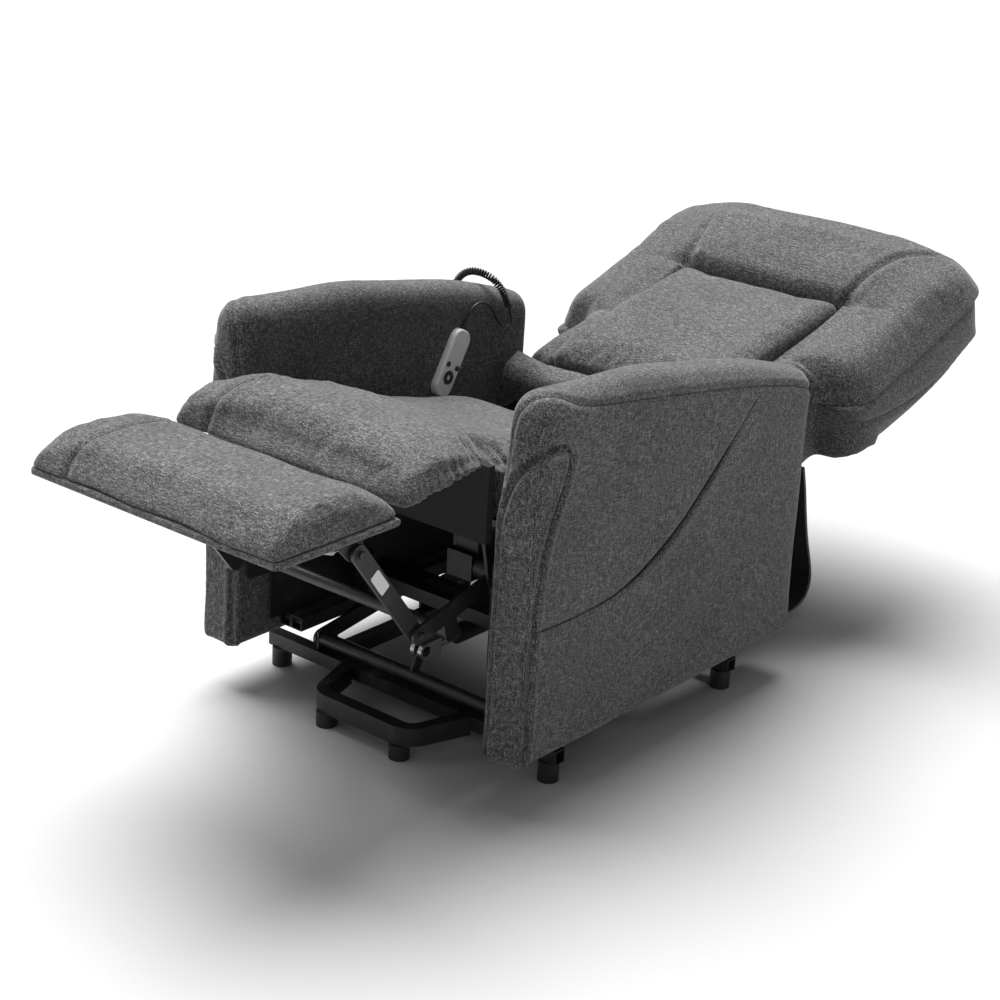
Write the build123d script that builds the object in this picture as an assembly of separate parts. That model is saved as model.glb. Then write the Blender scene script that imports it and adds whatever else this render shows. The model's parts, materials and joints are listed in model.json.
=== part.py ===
from build123d import *
import math
import os

# Riser recliner armchair, stored lowered, fully reclined and with the footrest raised.
# X runs across the chair, -Y is the way it faces and Z is up from the floor.
# Lengths along the chair are stated from the front of the arms, and the whole chair is
# moved by SHIFT_Y at the end so that the origin is on the floor under its middle.

# ---- driving dimensions -------------------------------------------------------------
CHAIR_WIDTH = 730.0
ARM_WIDTH = 86.5
ARM_DEPTH = 780.0
ARM_BOTTOM = 83.5
ARM_EDGE_RADIUS = 40.0
COVER_WALL = 12.0
FACING_THICKNESS = 15.0

FOOTREST_FRONT = -464.0
FOOTREST_REAR = -197.0
HEAD_END = 1497.0
SHIFT_Y = -(FOOTREST_FRONT + HEAD_END) / 2

HALF_WIDTH = CHAIR_WIDTH / 2
ARM_INNER = HALF_WIDTH - ARM_WIDTH
ARM_MIDDLE = HALF_WIDTH - ARM_WIDTH / 2

TUBE = 25.0
TUBE_WALL = 2.0
BAR = 6.0
PLATE = 4.0
BAR_WIDTH = 30.0
PIN_RADIUS = 6.0
RUNNING_BORE = PIN_RADIUS + 0.05
OPEN_BORE = PIN_RADIUS + 0.8

# ---- lateral layers, as distance from the centre plane -------------------------------
BASE_RAIL_X = 187.0
BRACKET_X = 213.0
LIFT_LINK_X = 218.0
CRADLE_X = 225.0
CHASSIS_RAIL_X = 252.0
SIDE_PLATE_X = 262.0
INNER_PANEL_X = 268.5
SEAT_HALF = 258.0
LOWER_BACK_HALF = 257.0
FOOTREST_HALF = 270.5

# ---- pivots, as (distance behind the arm fronts, height) -----------------------------
LIFT_FRONT = (144.0, 80.0)
LIFT_REAR = (430.0, 80.0)
LIFT_LINK_LENGTH = 250.0
LIFT_LINK_ANGLE = 8.0
CHASSIS_PIVOT = (112.0, 114.8)
SEAT_PIVOT = (595.0, 264.0)
BACK_PIVOT = (672.0, 375.0)
FOOTREST_A = (83.0, 341.0)
FOOTREST_B = (-86.0, 298.0)
FOOTREST_C = (-221.0, 471.0)
CALF_PIVOT = (-8.0, 556.0)
BACK_ANGLE = 18.0

# ---- base ---------------------------------------------------------------------------
FOOT_RADIUS = 18.0
FOOT_HEIGHT = 36.0
BASE_Z = FOOT_HEIGHT + TUBE / 2
FRONT_TUBE_Y = 138.0
REAR_TUBE_Y = 640.0
CROSS_TUBE_HALF = 331.0
FOOT_X = 309.0
LOOP_FOOT = (84.0, 20.0)
LOOP_HALF = 110.0
LOOP_REAR_HALF = 150.0
LOOP_BEND = 46.0
LOOP_DROP = 9.0

CRADLE_TUBE_Y = 275.0

# ---- lift drive -----------------------------------------------------------------------
CRANK_RADIUS = 45.0
CRANK_START = 64.0
CRANK_EYE_CLEARANCE = 3.5
ROD_RADIUS = 9.0
DRIVE_TUBE_RADIUS = 17.0
EYE_RADIUS = 15.0
MOTOR_LENGTH = 96.0

# ---- recline drive --------------------------------------------------------------------
RECLINE_TUBE_FRONT = 300.0
YOKE_DROP = 120.0
YOKE_START = -115.0
YOKE_END = -65.0
YOKE_PIN_RADIUS = 5.0
YOKE_CLEARANCE = 2.2

# ---- seat -----------------------------------------------------------------------------
SEAT_RAIL_FRONT = (20.0, 445.0)
SEAT_RAIL_REAR = (640.0, 250.0)
SEAT_SPRINGS = 5
SPRING_WIRE = 3.6

# ---- back -----------------------------------------------------------------------------
WING_START = 286.0
HEAD_START = 515.0
CENTRE_HALF = 178.0
HEAD_HALF = 240.0
HEAD_TOP_START = 687.0
SEAM_GAP = 2.0
BACK_SHELL_WALL = 8.0

# ---- handset --------------------------------------------------------------------------
HANDSET_CENTRE = (528.0, 500.0)
HANDSET_ANGLE = 60.0
HANDSET_LENGTH = 132.0
HANDSET_WIDTH = 48.0
HANDSET_BACK_X = -288.0
HANDSET_SPLIT_X = -275.0
HANDSET_FACE_X = -262.5
HANDSET_WALL = 2.5
BUTTON_CLEARANCE = 0.3
BUTTON_PROUD = 1.6
BUTTON_TRAVEL = 1.2

# ---- handset cord -----------------------------------------------------------------------
CORD_RADIUS = 2.0
COIL_RADIUS = 8.0


# ---- helpers ----------------------------------------------------------------------------
def block(x_from, x_to, y_from, y_to, z_from, z_to):
    """A box between two values on each axis."""
    solid = Box(x_to - x_from, y_to - y_from, z_to - z_from)
    return Pos((x_from + x_to) / 2, (y_from + y_to) / 2, (z_from + z_to) / 2) * solid


def slab(points, x_from, x_to):
    """A side outline of (y, z) points, given thickness from x_from to x_to."""
    outline = Plane.YZ * make_face(Polyline(*points, close=True))
    return Pos(x_from, 0, 0) * extrude(outline, amount=x_to - x_from)


def curved_slab(wire, x_from, x_to):
    """The same, from an outline of lines and curves already drawn in (y, z)."""
    return Pos(x_from, 0, 0) * extrude(Plane.YZ * make_face(wire), amount=x_to - x_from)


def rod_x(centre, radius, x_from, x_to):
    """A round bar along X at a (y, z) place."""
    turned = Pos((x_from + x_to) / 2, centre[0], centre[1]) * Rot(0, 90, 0)
    return turned * Cylinder(radius, abs(x_to - x_from))


def rod_y(x, z, radius, y_from, y_to):
    """A round bar along Y."""
    return Pos(x, (y_from + y_to) / 2, z) * Rot(90, 0, 0) * Cylinder(radius, y_to - y_from)


def tube_x(x_from, x_to, y, z, size=TUBE):
    """A square steel tube along X."""
    outer = block(x_from, x_to, y - size / 2, y + size / 2, z - size / 2, z + size / 2)
    inner = size / 2 - TUBE_WALL
    return outer - block(x_from, x_to, y - inner, y + inner, z - inner, z + inner)


def tube_y(x_from, y_from, y_to, z, size=TUBE):
    """A square steel tube along Y, whose inner side is at x_from."""
    outer = block(x_from, x_from + size, y_from, y_to, z - size / 2, z + size / 2)
    near = x_from + TUBE_WALL
    inner = size / 2 - TUBE_WALL
    return outer - block(near, x_from + size - TUBE_WALL, y_from, y_to, z - inner, z + inner)


def slanted_tube(start, end, x_from, size=TUBE):
    """A square steel tube in the side plane from one (y, z) point to another."""
    length = math.dist(start, end)
    angle = math.degrees(math.atan2(end[1] - start[1], end[0] - start[0]))
    outer = Box(size, length, size)
    inner = Box(size - 2 * TUBE_WALL, length, size - 2 * TUBE_WALL)
    place = Pos(x_from + size / 2, (start[0] + end[0]) / 2, (start[1] + end[1]) / 2)
    return place * Rot(angle, 0, 0) * (outer - inner)


def link(start, end, x_from, thickness=BAR, width=BAR_WIDTH, bores=(RUNNING_BORE, RUNNING_BORE)):
    """A flat bar with round ends and a bore at each (y, z) pivot."""
    length = math.dist(start, end)
    angle = math.degrees(math.atan2(end[1] - start[1], end[0] - start[0]))
    middle = ((start[0] + end[0]) / 2, (start[1] + end[1]) / 2)
    outline = Plane.YZ * Pos(*middle) * Rot(0, 0, angle) * SlotCenterToCenter(length, width)
    bar = Pos(x_from, 0, 0) * extrude(outline, amount=thickness)
    for pivot, bore in zip((start, end), bores):
        if bore:
            bar -= rod_x(pivot, bore, x_from - 1, x_from + thickness + 1)
    return bar


def both(shape):
    """The shape and its mirror image on the other side of the chair."""
    return [shape, mirror(shape, about=Plane.YZ)]


def turn(point, pivot, degrees):
    """A (y, z) point turned about a pivot, from +Y towards +Z."""
    a = math.radians(degrees)
    dy, dz = point[0] - pivot[0], point[1] - pivot[1]
    return (
        pivot[0] + dy * math.cos(a) - dz * math.sin(a),
        pivot[1] + dy * math.sin(a) + dz * math.cos(a),
    )


def along(pivot, degrees, distance):
    """The (y, z) point at a distance from a pivot in a direction."""
    return turn((pivot[0] + distance, pivot[1]), pivot, degrees)


def on_back(along_back, off_back):
    """A (y, z) point given along the reclined back and square to it."""
    return turn((BACK_PIVOT[0] + along_back, BACK_PIVOT[1] + off_back), BACK_PIVOT, BACK_ANGLE)


def back_slab(points, x_from, x_to):
    """A slab whose outline is stated along and square to the back."""
    return slab([on_back(*point) for point in points], x_from, x_to)


def soften(shape, radius, axis=Axis.X):
    """Round the edges that run along one axis."""
    return fillet(shape.edges().filter_by(axis), radius)


# ---- base: stands on the floor -------------------------------------------------------------
def make_base():
    parts = {}
    parts["base_cross_tubes"] = [
        tube_x(-CROSS_TUBE_HALF, CROSS_TUBE_HALF, y, BASE_Z) for y in (FRONT_TUBE_Y, REAR_TUBE_Y)
    ]
    rail_front = FRONT_TUBE_Y + TUBE / 2
    rail_rear = REAR_TUBE_Y - TUBE / 2
    parts["base_side_rails"] = both(tube_y(BASE_RAIL_X, rail_front, rail_rear, BASE_Z))

    # the forward loop that stops the chair from tipping as it rises
    rear_y = FRONT_TUBE_Y - TUBE / 2
    front_y = LOOP_FOOT[1]
    half = TUBE / 2
    outer = Polyline(
        (-LOOP_REAR_HALF, rear_y), (-LOOP_HALF, front_y - half),
        (LOOP_HALF, front_y - half), (LOOP_REAR_HALF, rear_y), close=True,
    )
    inner = Polyline(
        (-LOOP_REAR_HALF + TUBE, rear_y), (-LOOP_HALF + half, front_y + half),
        (LOOP_HALF - half, front_y + half), (LOOP_REAR_HALF - TUBE, rear_y), close=True,
    )
    outside = make_face(outer)
    inside = make_face(inner)
    outside = fillet(outside.vertices().group_by(Axis.Y)[0], LOOP_BEND)
    inside = fillet(inside.vertices().group_by(Axis.Y)[0], LOOP_BEND - TUBE)
    ring = outside - inside
    loop_bottom = FOOT_HEIGHT - LOOP_DROP
    parts["base_front_loop"] = Pos(0, 0, loop_bottom) * extrude(ring, amount=TUBE + LOOP_DROP)

    feet = []
    for (x, y), height in (
        ((FOOT_X, FRONT_TUBE_Y), FOOT_HEIGHT),
        ((FOOT_X, REAR_TUBE_Y), FOOT_HEIGHT),
        (LOOP_FOOT, loop_bottom),
    ):
        feet += [Pos(side * x, y, height / 2) * Cylinder(FOOT_RADIUS, height) for side in (-1, 1)]
    parts["base_feet"] = feet

    top = LIFT_FRONT[1] + BAR_WIDTH / 2
    low = FOOT_HEIGHT + PLATE
    brackets = []
    for pivot in (LIFT_FRONT, LIFT_REAR):
        y = pivot[0] + (TUBE / 2 if pivot is LIFT_FRONT else 0)
        ear = block(BRACKET_X, BRACKET_X + PLATE, y - TUBE, y + TUBE, low, top)
        if pivot is LIFT_FRONT:
            notch_rear = FRONT_TUBE_Y + TUBE / 2
            ear -= block(0, ARM_INNER, 0, notch_rear, 0, BASE_Z + TUBE / 2)
            ear -= rod_x(pivot, RUNNING_BORE, 0, ARM_INNER)
        else:
            ear += rod_x(pivot, PIN_RADIUS, BRACKET_X, LIFT_LINK_X + BAR)
        ear += block(BASE_RAIL_X + TUBE, BRACKET_X, y, y + TUBE / 2, low, BASE_Z + TUBE / 2 - 1)
        brackets += both(ear)
    parts["base_link_brackets"] = brackets
    return parts


# ---- lift links and the cradle that they carry ------------------------------------------------
def cradle_point(pivot):
    return along(pivot, LIFT_LINK_ANGLE, LIFT_LINK_LENGTH)


def make_lift():
    parts = {}
    front_top = cradle_point(LIFT_FRONT)
    rear_top = cradle_point(LIFT_REAR)
    front = link(LIFT_FRONT, front_top, LIFT_LINK_X, bores=(0, RUNNING_BORE))
    parts["lift_front_links"] = both(front)
    parts["lift_rear_links"] = both(
        link(LIFT_REAR, rear_top, LIFT_LINK_X, bores=(RUNNING_BORE, OPEN_BORE))
    )
    shaft = rod_x(LIFT_FRONT, PIN_RADIUS, -LIFT_LINK_X, LIFT_LINK_X)
    shaft += rod_x(LIFT_FRONT, TUBE / 2, -BRACKET_X + 2, BRACKET_X - 2)
    eye = along(LIFT_FRONT, CRANK_START, CRANK_RADIUS)
    crank = link(LIFT_FRONT, eye, -BAR / 2, bores=(0, 0), width=EYE_RADIUS + 5)
    pin = rod_x(eye, PIN_RADIUS, -TUBE / 2, TUBE / 2)
    parts["lift_crank_shaft"] = shaft + crank + pin

    rail_z = front_top[1]
    rails = []
    rail = tube_y(CRADLE_X, CHASSIS_PIVOT[0] - TUBE / 2, rear_top[0] + TUBE, rail_z)
    for pivot in (front_top, rear_top):
        rail += rod_x(pivot, PIN_RADIUS, LIFT_LINK_X, CRADLE_X)
    rail += rod_x(CHASSIS_PIVOT, PIN_RADIUS, CRADLE_X, CHASSIS_RAIL_X + TUBE)
    rails += both(rail)
    parts["cradle_side_rails"] = rails

    post_top = rail_z + TUBE * 1.5
    cross = []
    for y in (CRADLE_TUBE_Y, rear_top[0] + TUBE / 2):
        cross.append(tube_x(-CRADLE_X - TUBE, CRADLE_X + TUBE, y, post_top + TUBE / 2))
        post = block(CRADLE_X, CRADLE_X + TUBE, y - PLATE, y + PLATE, rail_z + TUBE / 2, post_top)
        cross += both(post)
    parts["cradle_cross_tubes"] = cross
    return parts


# ---- lift drive: motor and spindle tube on the base, rod to the crank ---------------------------
def make_lift_drive():
    parts = {}
    z = LIFT_FRONT[1] + CRANK_RADIUS * (1 + math.sin(math.radians(CRANK_START))) / 2
    eye_y = LIFT_FRONT[0] + CRANK_RADIUS * math.cos(math.radians(CRANK_START))
    tube_front = eye_y + 90
    tube_rear = REAR_TUBE_Y - TUBE
    tube = rod_y(0, z, DRIVE_TUBE_RADIUS, tube_front, tube_rear)
    tube -= rod_y(0, z, ROD_RADIUS + 0.5, tube_front - 1, tube_rear - TUBE)
    gearbox = block(-30, 30, tube_rear, tube_rear + 45, z - 28, z + 22)
    motor = rod_x((tube_rear + 22, z - 1), 22.0, 30, 30 + MOTOR_LENGTH)
    parts["lift_motor"] = gearbox + motor
    parts["lift_drive_tube"] = tube
    bracket_z = BASE_Z + TUBE / 2
    bracket = block(-30, 30, REAR_TUBE_Y - TUBE / 2, tube_rear + 45, bracket_z, z - 28)
    parts["lift_motor_bracket"] = bracket
    bridge = eye_y + 28
    rod = rod_y(0, z, ROD_RADIUS, bridge, tube_rear - TUBE - MOTOR_LENGTH)
    eye = block(-TUBE / 2, TUBE / 2, bridge, bridge + 10, z - EYE_RADIUS, z + EYE_RADIUS)
    for x_from in (-TUBE / 2, BAR / 2 + 1.5):
        cheek = rod_x((eye_y, z), EYE_RADIUS, x_from, x_from + 8)
        cheek += block(x_from, x_from + 8, eye_y, bridge, z - EYE_RADIUS, z + EYE_RADIUS)
        eye += cheek
    eye -= rod_x((eye_y, z), PIN_RADIUS + CRANK_EYE_CLEARANCE, -TUBE, TUBE)
    parts["lift_drive_rod"] = rod + eye
    return parts


# ---- chassis: steel side frames and cross rails ---------------------------------------------------
CHASSIS_TUBE_Y = 320.0
CHASSIS_TUBE_Z = 165.0
CHASSIS_REAR_Y = 745.0
SIDE_PLATE_TOP = 330.0
SIDE_PLATE_FRONT = 60.0


def make_chassis():
    parts = {}
    rail_z = CHASSIS_PIVOT[1]
    rail_rear = CHASSIS_REAR_Y + TUBE / 2
    rail = tube_y(CHASSIS_RAIL_X, CHASSIS_PIVOT[0] - TUBE / 2, rail_rear, rail_z)
    rail -= rod_x(CHASSIS_PIVOT, RUNNING_BORE, CHASSIS_RAIL_X - 1, ARM_INNER)

    low = rail_z + TUBE / 2
    outline = [
        (SIDE_PLATE_FRONT, low), (rail_rear, low), (rail_rear, low + 2 * TUBE),
        (SEAT_PIVOT[0] + 2 * TUBE, SIDE_PLATE_TOP), (SIDE_PLATE_FRONT, SIDE_PLATE_TOP),
    ]
    plate = slab(outline, SIDE_PLATE_X, SIDE_PLATE_X + PLATE)
    plate += rod_x(SEAT_PIVOT, PIN_RADIUS, CRADLE_X + TUBE_WALL, SIDE_PLATE_X)
    parts["chassis_side_plates"] = both(plate)
    parts["chassis_rails"] = both(rail) + [
        tube_x(-SIDE_PLATE_X, SIDE_PLATE_X, y, CHASSIS_TUBE_Z)
        for y in (CHASSIS_TUBE_Y, CHASSIS_REAR_Y)
    ]
    panel = slab([(2, 205), (2, 430), (190, 400), (190, 205)], INNER_PANEL_X, ARM_INNER)
    parts["inner_side_panels"] = both(soften(panel, 12))
    return parts


# ---- arms ------------------------------------------------------------------------------------------
CROWN = [(0, 708), (290, 693), (600, 642), (ARM_DEPTH, 590)]
CROWN_RADII = [50, 900, 900, 45]
POCKET_DEPTH = 9.0
POCKET_PANEL = 3.0


def arm_solid(x_from, x_to, inset=0):
    """The arm between two side planes, optionally shrunk inside its skin."""
    top = [(y, z - inset) for y, z in CROWN]
    top[0] = (inset, CROWN[0][1] - inset)
    top[-1] = (ARM_DEPTH - inset, CROWN[-1][1] - inset)
    front_foot = (inset, ARM_BOTTOM)
    rear_foot = (ARM_DEPTH - inset, ARM_BOTTOM)
    outline = FilletPolyline(front_foot, *top, rear_foot, radius=CROWN_RADII)
    outline += Line(rear_foot, front_foot)
    return curved_slab(outline, x_from, x_to)


def pocket_outline():
    """The pocket's outline: a level bottom and a top edge that climbs to the rear."""
    edge = Spline((20, 322), (150, 318), (262, 336), (369, 390), (448, 452), (520, 520), (583, 578))
    rest = Polyline((583, 578), (640, 560), (640, 140), (20, 140), (20, 322))
    return edge + rest


def make_arms():
    parts = {}
    cavity = arm_solid(ARM_INNER + COVER_WALL, HALF_WIDTH - COVER_WALL, inset=COVER_WALL)
    outside = arm_solid(ARM_INNER, HALF_WIDTH)
    across = outside.edges().filter_by(Axis.X)
    bottom = outside.edges().group_by(Axis.Z)[0]
    rounded = [edge for edge in outside.edges() if edge not in across and edge not in bottom]
    cover = fillet(rounded, ARM_EDGE_RADIUS) - cavity
    mirrored = mirror(cover, about=Plane.YZ)
    nest = handset_plane() * extrude(RectangleRounded(
        HANDSET_LENGTH + 6, HANDSET_WIDTH + 6, 20), amount=COVER_WALL)
    parts["arm_cover_left"] = mirrored - nest
    face_x = HALF_WIDTH - POCKET_DEPTH
    parts["arm_cover_right"] = cover - curved_slab(pocket_outline(), face_x, HALF_WIDTH)
    pocket = curved_slab(pocket_outline(), HALF_WIDTH - POCKET_PANEL, HALF_WIDTH)
    slit = Pos(0, 7, -14) * curved_slab(pocket_outline(), 0, CHAIR_WIDTH)
    hem = block(face_x, HALF_WIDTH, 20, 640, 140, 146)
    parts["side_pocket"] = (pocket & slit) + hem

    post = 40.0
    x_low = ARM_INNER + COVER_WALL + 6
    x_high = HALF_WIDTH - COVER_WALL - 6
    low = ARM_BOTTOM + 6
    front = block(x_low, x_high, 16, 16 + post, low, 600)
    rear = block(x_low, x_high, 724, 724 + post, low, 540)
    sill = block(x_low, x_high, 16 + post, 724, low, low + post)
    beam = slab([(16 + post, 590), (16 + post, 630), (724, 546), (724, 506)], x_low, x_high)
    parts["arm_frames"] = both(front + rear + sill + beam)

    facing = extrude(
        Plane((ARM_MIDDLE, 0, ARM_BOTTOM), x_dir=(1, 0, 0), z_dir=(0, -1, 0))
        * Pos(0, 270) * RectangleRounded(ARM_WIDTH, 540, 30),
        amount=FACING_THICKNESS,
    )
    parts["arm_facings"] = both(facing)
    return parts


# ---- handset in its nest on the inner face of the left arm -------------------------------------------
ROUND_BUTTON = 5.0
ROUND_BUTTON_AT = (-5.5, 14.0)
RING_AT = -28.0
RING_OUTER = 13.0
RING_INNER = 5.0
RING_GAP = 1.6
BUTTON_DEPTH = 5.0
BUTTONS = ("raise", "lower", "back_up", "back_down", "footrest_up", "footrest_down")


def handset_plane(x=HANDSET_BACK_X):
    """Plane of the handset: along its length, across it, and facing the seat."""
    a = math.radians(HANDSET_ANGLE)
    return Plane((x, *HANDSET_CENTRE), x_dir=(0, math.cos(a), math.sin(a)), z_dir=(1, 0, 0))


def button_outline(index, grow=0.0):
    """The outline of one of the six buttons, grown for its hole."""
    if index < 2:
        across = ROUND_BUTTON_AT[1] * (1 if index == 0 else -1)
        return Pos(ROUND_BUTTON_AT[0], across) * Circle(ROUND_BUTTON + grow)
    quarter = 45 + 90 * (index - 2)
    ring = Circle(RING_OUTER + grow) - Circle(RING_INNER - grow)
    shift = RING_GAP / 2 - grow
    sector = Pos(shift, shift) * Rectangle(50, 50, align=(Align.MIN, Align.MIN))
    return Pos(RING_AT, 0) * Rot(0, 0, quarter) * (ring & sector)


def make_handset():
    parts = {}
    outline = RectangleRounded(HANDSET_LENGTH, HANDSET_WIDTH, 20)
    inside = RectangleRounded(
        HANDSET_LENGTH - 2 * HANDSET_WALL, HANDSET_WIDTH - 2 * HANDSET_WALL, 17.5)
    depth = HANDSET_SPLIT_X - HANDSET_BACK_X
    back = extrude(handset_plane() * outline, amount=depth)
    back -= extrude(handset_plane(HANDSET_BACK_X + HANDSET_WALL) * inside, amount=depth)
    height = HANDSET_FACE_X - HANDSET_SPLIT_X
    front = extrude(handset_plane(HANDSET_SPLIT_X) * outline, amount=height)
    front = fillet(front.edges().sort_by(Axis.X)[-8:], 4)
    front -= extrude(handset_plane(HANDSET_SPLIT_X) * inside, amount=height - HANDSET_WALL)
    for index, name in enumerate(BUTTONS):
        hole = handset_plane(HANDSET_SPLIT_X) * button_outline(index, BUTTON_CLEARANCE)
        front -= extrude(hole, amount=height + 1)
        start = HANDSET_FACE_X + BUTTON_PROUD - BUTTON_DEPTH
        button = extrude(handset_plane(start) * button_outline(index), amount=BUTTON_DEPTH)
        parts[f"button_{name}"] = button
    parts["handset_back_shell"] = back
    parts["handset_front_shell"] = front
    return parts


# ---- handset cord: exit from the handset, curled part over the arm, tail to the control box -----------
RELIEF_LENGTH = 16.0
RELIEF_RADIUS = 4.0
CORD_X = -273.0
COIL_X = -268.0
CORD_ROUTE = [
    (CORD_X, 569.0, 571.0), (CORD_X, 581.0, 591.8), (-271.0, 606.0, 603.0), (-269.0, 634.0, 592.0),
    (COIL_X, 652.0, 564.0), (COIL_X, 674.0, 537.0), (COIL_X, 703.0, 544.4), (COIL_X, 690.0, 575.0),
]
COIL_ROUTE = [
    (COIL_X, 690.0, 575.0), (COIL_X, 662.0, 641.0), (-375.5, 650.0, 641.0), (-375.5, 640.0, 560.0),
]
TAIL_ROUTE = [
    (-375.5, 640.0, 560.0), (-375.5, 634.0, 511.4), (-373.0, 631.0, 455.0), (-372.0, 634.0, 398.0),
    (-373.0, 641.0, 341.0), (-372.0, 645.0, 284.0), (-370.5, 651.0, 227.0), (-371.5, 661.0, 171.0),
    (-373.0, 676.0, 121.0), (-372.0, 696.0, 82.0), (-363.0, 718.0, 62.0), (-346.0, 727.0, 60.0),
]
CONTROL_BOX = (-346.0, -290.0, 682.0, 765.0, 42.0, 81.0)


def route_radii(points):
    """The largest arc that each corner's two runs allow."""
    radii = []
    for before, corner, after in zip(points, points[1:], points[2:]):
        first = Vector(*corner) - Vector(*before)
        second = Vector(*after) - Vector(*corner)
        half_turn = math.radians(first.get_angle(second)) / 2
        radii.append(0.45 * min(first.length, second.length) / math.tan(half_turn))
    return radii


def corded(points, radius, name):
    """A round cord along straight runs joined by tangent arcs."""
    radii = route_radii(points)
    path = FilletPolyline(*points, radius=radii)
    solid = sweep(Plane(origin=path @ 0, z_dir=path % 0) * Circle(radius), path=path)
    expected = math.pi * radius**2 * path.length
    print(name, "length", round(path.length, 1), "volume ratio", round(solid.volume / expected, 4))
    print(name, "radii", [round(r, 1) for r in radii])
    return solid


def make_cord():
    parts = {}
    a = math.radians(HANDSET_ANGLE)
    direction = (0, math.cos(a), math.sin(a))
    end = Vector(*CORD_ROUTE[0])
    start = end - Vector(*direction) * RELIEF_LENGTH
    relief = extrude(Plane(start, z_dir=direction) * Circle(RELIEF_RADIUS), amount=RELIEF_LENGTH)
    relief -= extrude(handset_plane() * RectangleRounded(
        HANDSET_LENGTH, HANDSET_WIDTH, 20), amount=HANDSET_FACE_X - HANDSET_BACK_X)
    parts["handset_strain_relief"] = relief
    parts["handset_cord"] = corded(CORD_ROUTE, CORD_RADIUS, "cord")
    parts["handset_cord_coil"] = corded(COIL_ROUTE, COIL_RADIUS, "coil")
    parts["handset_cord_tail"] = corded(TAIL_ROUTE, CORD_RADIUS, "tail")
    parts["control_box"] = soften(block(*CONTROL_BOX), 4, Axis.Z)
    return parts


# ---- seat: frame, springs, cushion and the back's hinge plates -----------------------------------------
SEAT_TOP = [
    (20, 590), (60, 579), (110, 561), (192, 527), (274, 494), (370, 473), (456, 457), (540, 432),
]
SEAT_BOARD_REAR = 18.0
SEAT_BOARD_FRONT = 4.0
CALF_EARS_X = (150.0, 162.0)
CALF_EAR_RADIUS = 8.0


def rail_height(y):
    """Height of the seat rails' centre line."""
    slope = (SEAT_RAIL_REAR[1] - SEAT_RAIL_FRONT[1]) / (SEAT_RAIL_REAR[0] - SEAT_RAIL_FRONT[0])
    return SEAT_RAIL_FRONT[1] + slope * (y - SEAT_RAIL_FRONT[0])


def seat_spring(x):
    """One zigzag wire that hangs from front to rear between the seat's cross rails."""
    points = []
    for step in range(13):
        y = 200 + 22 * step
        swing = 16 if step % 2 else -16
        points.append((x + swing, y, rail_height(y) + 27))
    path = FilletPolyline(*points, radius=9)
    return sweep(Plane(origin=path @ 0, z_dir=path % 0) * Circle(SPRING_WIRE / 2), path=path)


def make_seat():
    parts = {}
    rail = slanted_tube(SEAT_RAIL_FRONT, SEAT_RAIL_REAR, CRADLE_X)
    rail -= rod_x(SEAT_PIVOT, RUNNING_BORE, 0, ARM_INNER)
    parts["seat_side_rails"] = both(rail)

    hinge = slab([
        (606, 240), (655, 232), (668, 250), (688, 366), (684, 388), (660, 388), (650, 360),
        (620, 268),
    ], CRADLE_X + TUBE + 0.3, CRADLE_X + TUBE + 0.3 + PLATE)
    hinge += rod_x(BACK_PIVOT, PIN_RADIUS, CRADLE_X, CRADLE_X + TUBE + 1)
    parts["back_hinge_plates"] = both(hinge)

    cross = []
    for y in (160.0, 500.0):
        cross.append(tube_x(-CRADLE_X, CRADLE_X, y, rail_height(y)))
    parts["seat_cross_rails"] = cross + recline_motor_hanger()

    hangers = slab([
        (44, 420), (120, 396), (112, 350), (FOOTREST_A[0] + 12, 326), (FOOTREST_A[0] - 12, 326),
        (60, 350),
    ], CRADLE_X - BAR, CRADLE_X)
    hangers += rod_x(FOOTREST_A, PIN_RADIUS, FOOT_LINK_X, CRADLE_X - BAR)
    parts["footrest_hangers"] = both(hangers)

    board = block(-SEAT_HALF, SEAT_HALF, SEAT_BOARD_FRONT, SEAT_BOARD_REAR, 440, 568)
    for x in CALF_EARS_X:
        ear = rod_x(CALF_PIVOT, CALF_EAR_RADIUS, x, x + PLATE)
        ear += block(x, x + PLATE, CALF_PIVOT[0], SEAT_BOARD_FRONT,
                     CALF_PIVOT[1] - CALF_EAR_RADIUS, CALF_PIVOT[1] + CALF_EAR_RADIUS)
        for side in both(ear):
            board += side
    for pin in both(rod_x(CALF_PIVOT, 3, CALF_EARS_X[0], CALF_EARS_X[1] + PLATE)):
        board += pin
    parts["seat_front_board"] = board

    parts["seat_springs"] = [seat_spring(x) for x in (-160, -80, 0, 80, 160)]
    outline = Spline(*SEAT_TOP) + Polyline(
        SEAT_TOP[-1], (556, 418), (556, 306), (170, 438), (SEAT_BOARD_REAR + 1, 466), SEAT_TOP[0])
    cushion = curved_slab(outline, -SEAT_HALF, SEAT_HALF)
    parts["seat_cushion"] = cushion
    return parts


# ---- recline drive: fixed under the seat, its rod pushes the slotted lever of the back ---------------------
def yoke_points():
    """Ends of the yoke pin's straight travel below the back's hinge."""
    height = BACK_PIVOT[1] - YOKE_DROP
    reach = YOKE_DROP * math.tan(math.radians(YOKE_END - YOKE_START) / 2)
    return (BACK_PIVOT[0] - reach, height), (BACK_PIVOT[0] + reach, height)


def recline_motor_hanger():
    """A cross bar and post that hold the recline motor under the seat."""
    y = RECLINE_TUBE_FRONT - 22
    motor_top = BACK_PIVOT[1] - YOKE_DROP + 24
    rail_low = rail_height(y) - TUBE / 2
    post = block(-28, 28, y - 8, y + 8, motor_top, rail_low)
    return [post + block(-CRADLE_X, CRADLE_X, y - 8, y + 8, rail_low, rail_low + 20)]


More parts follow.
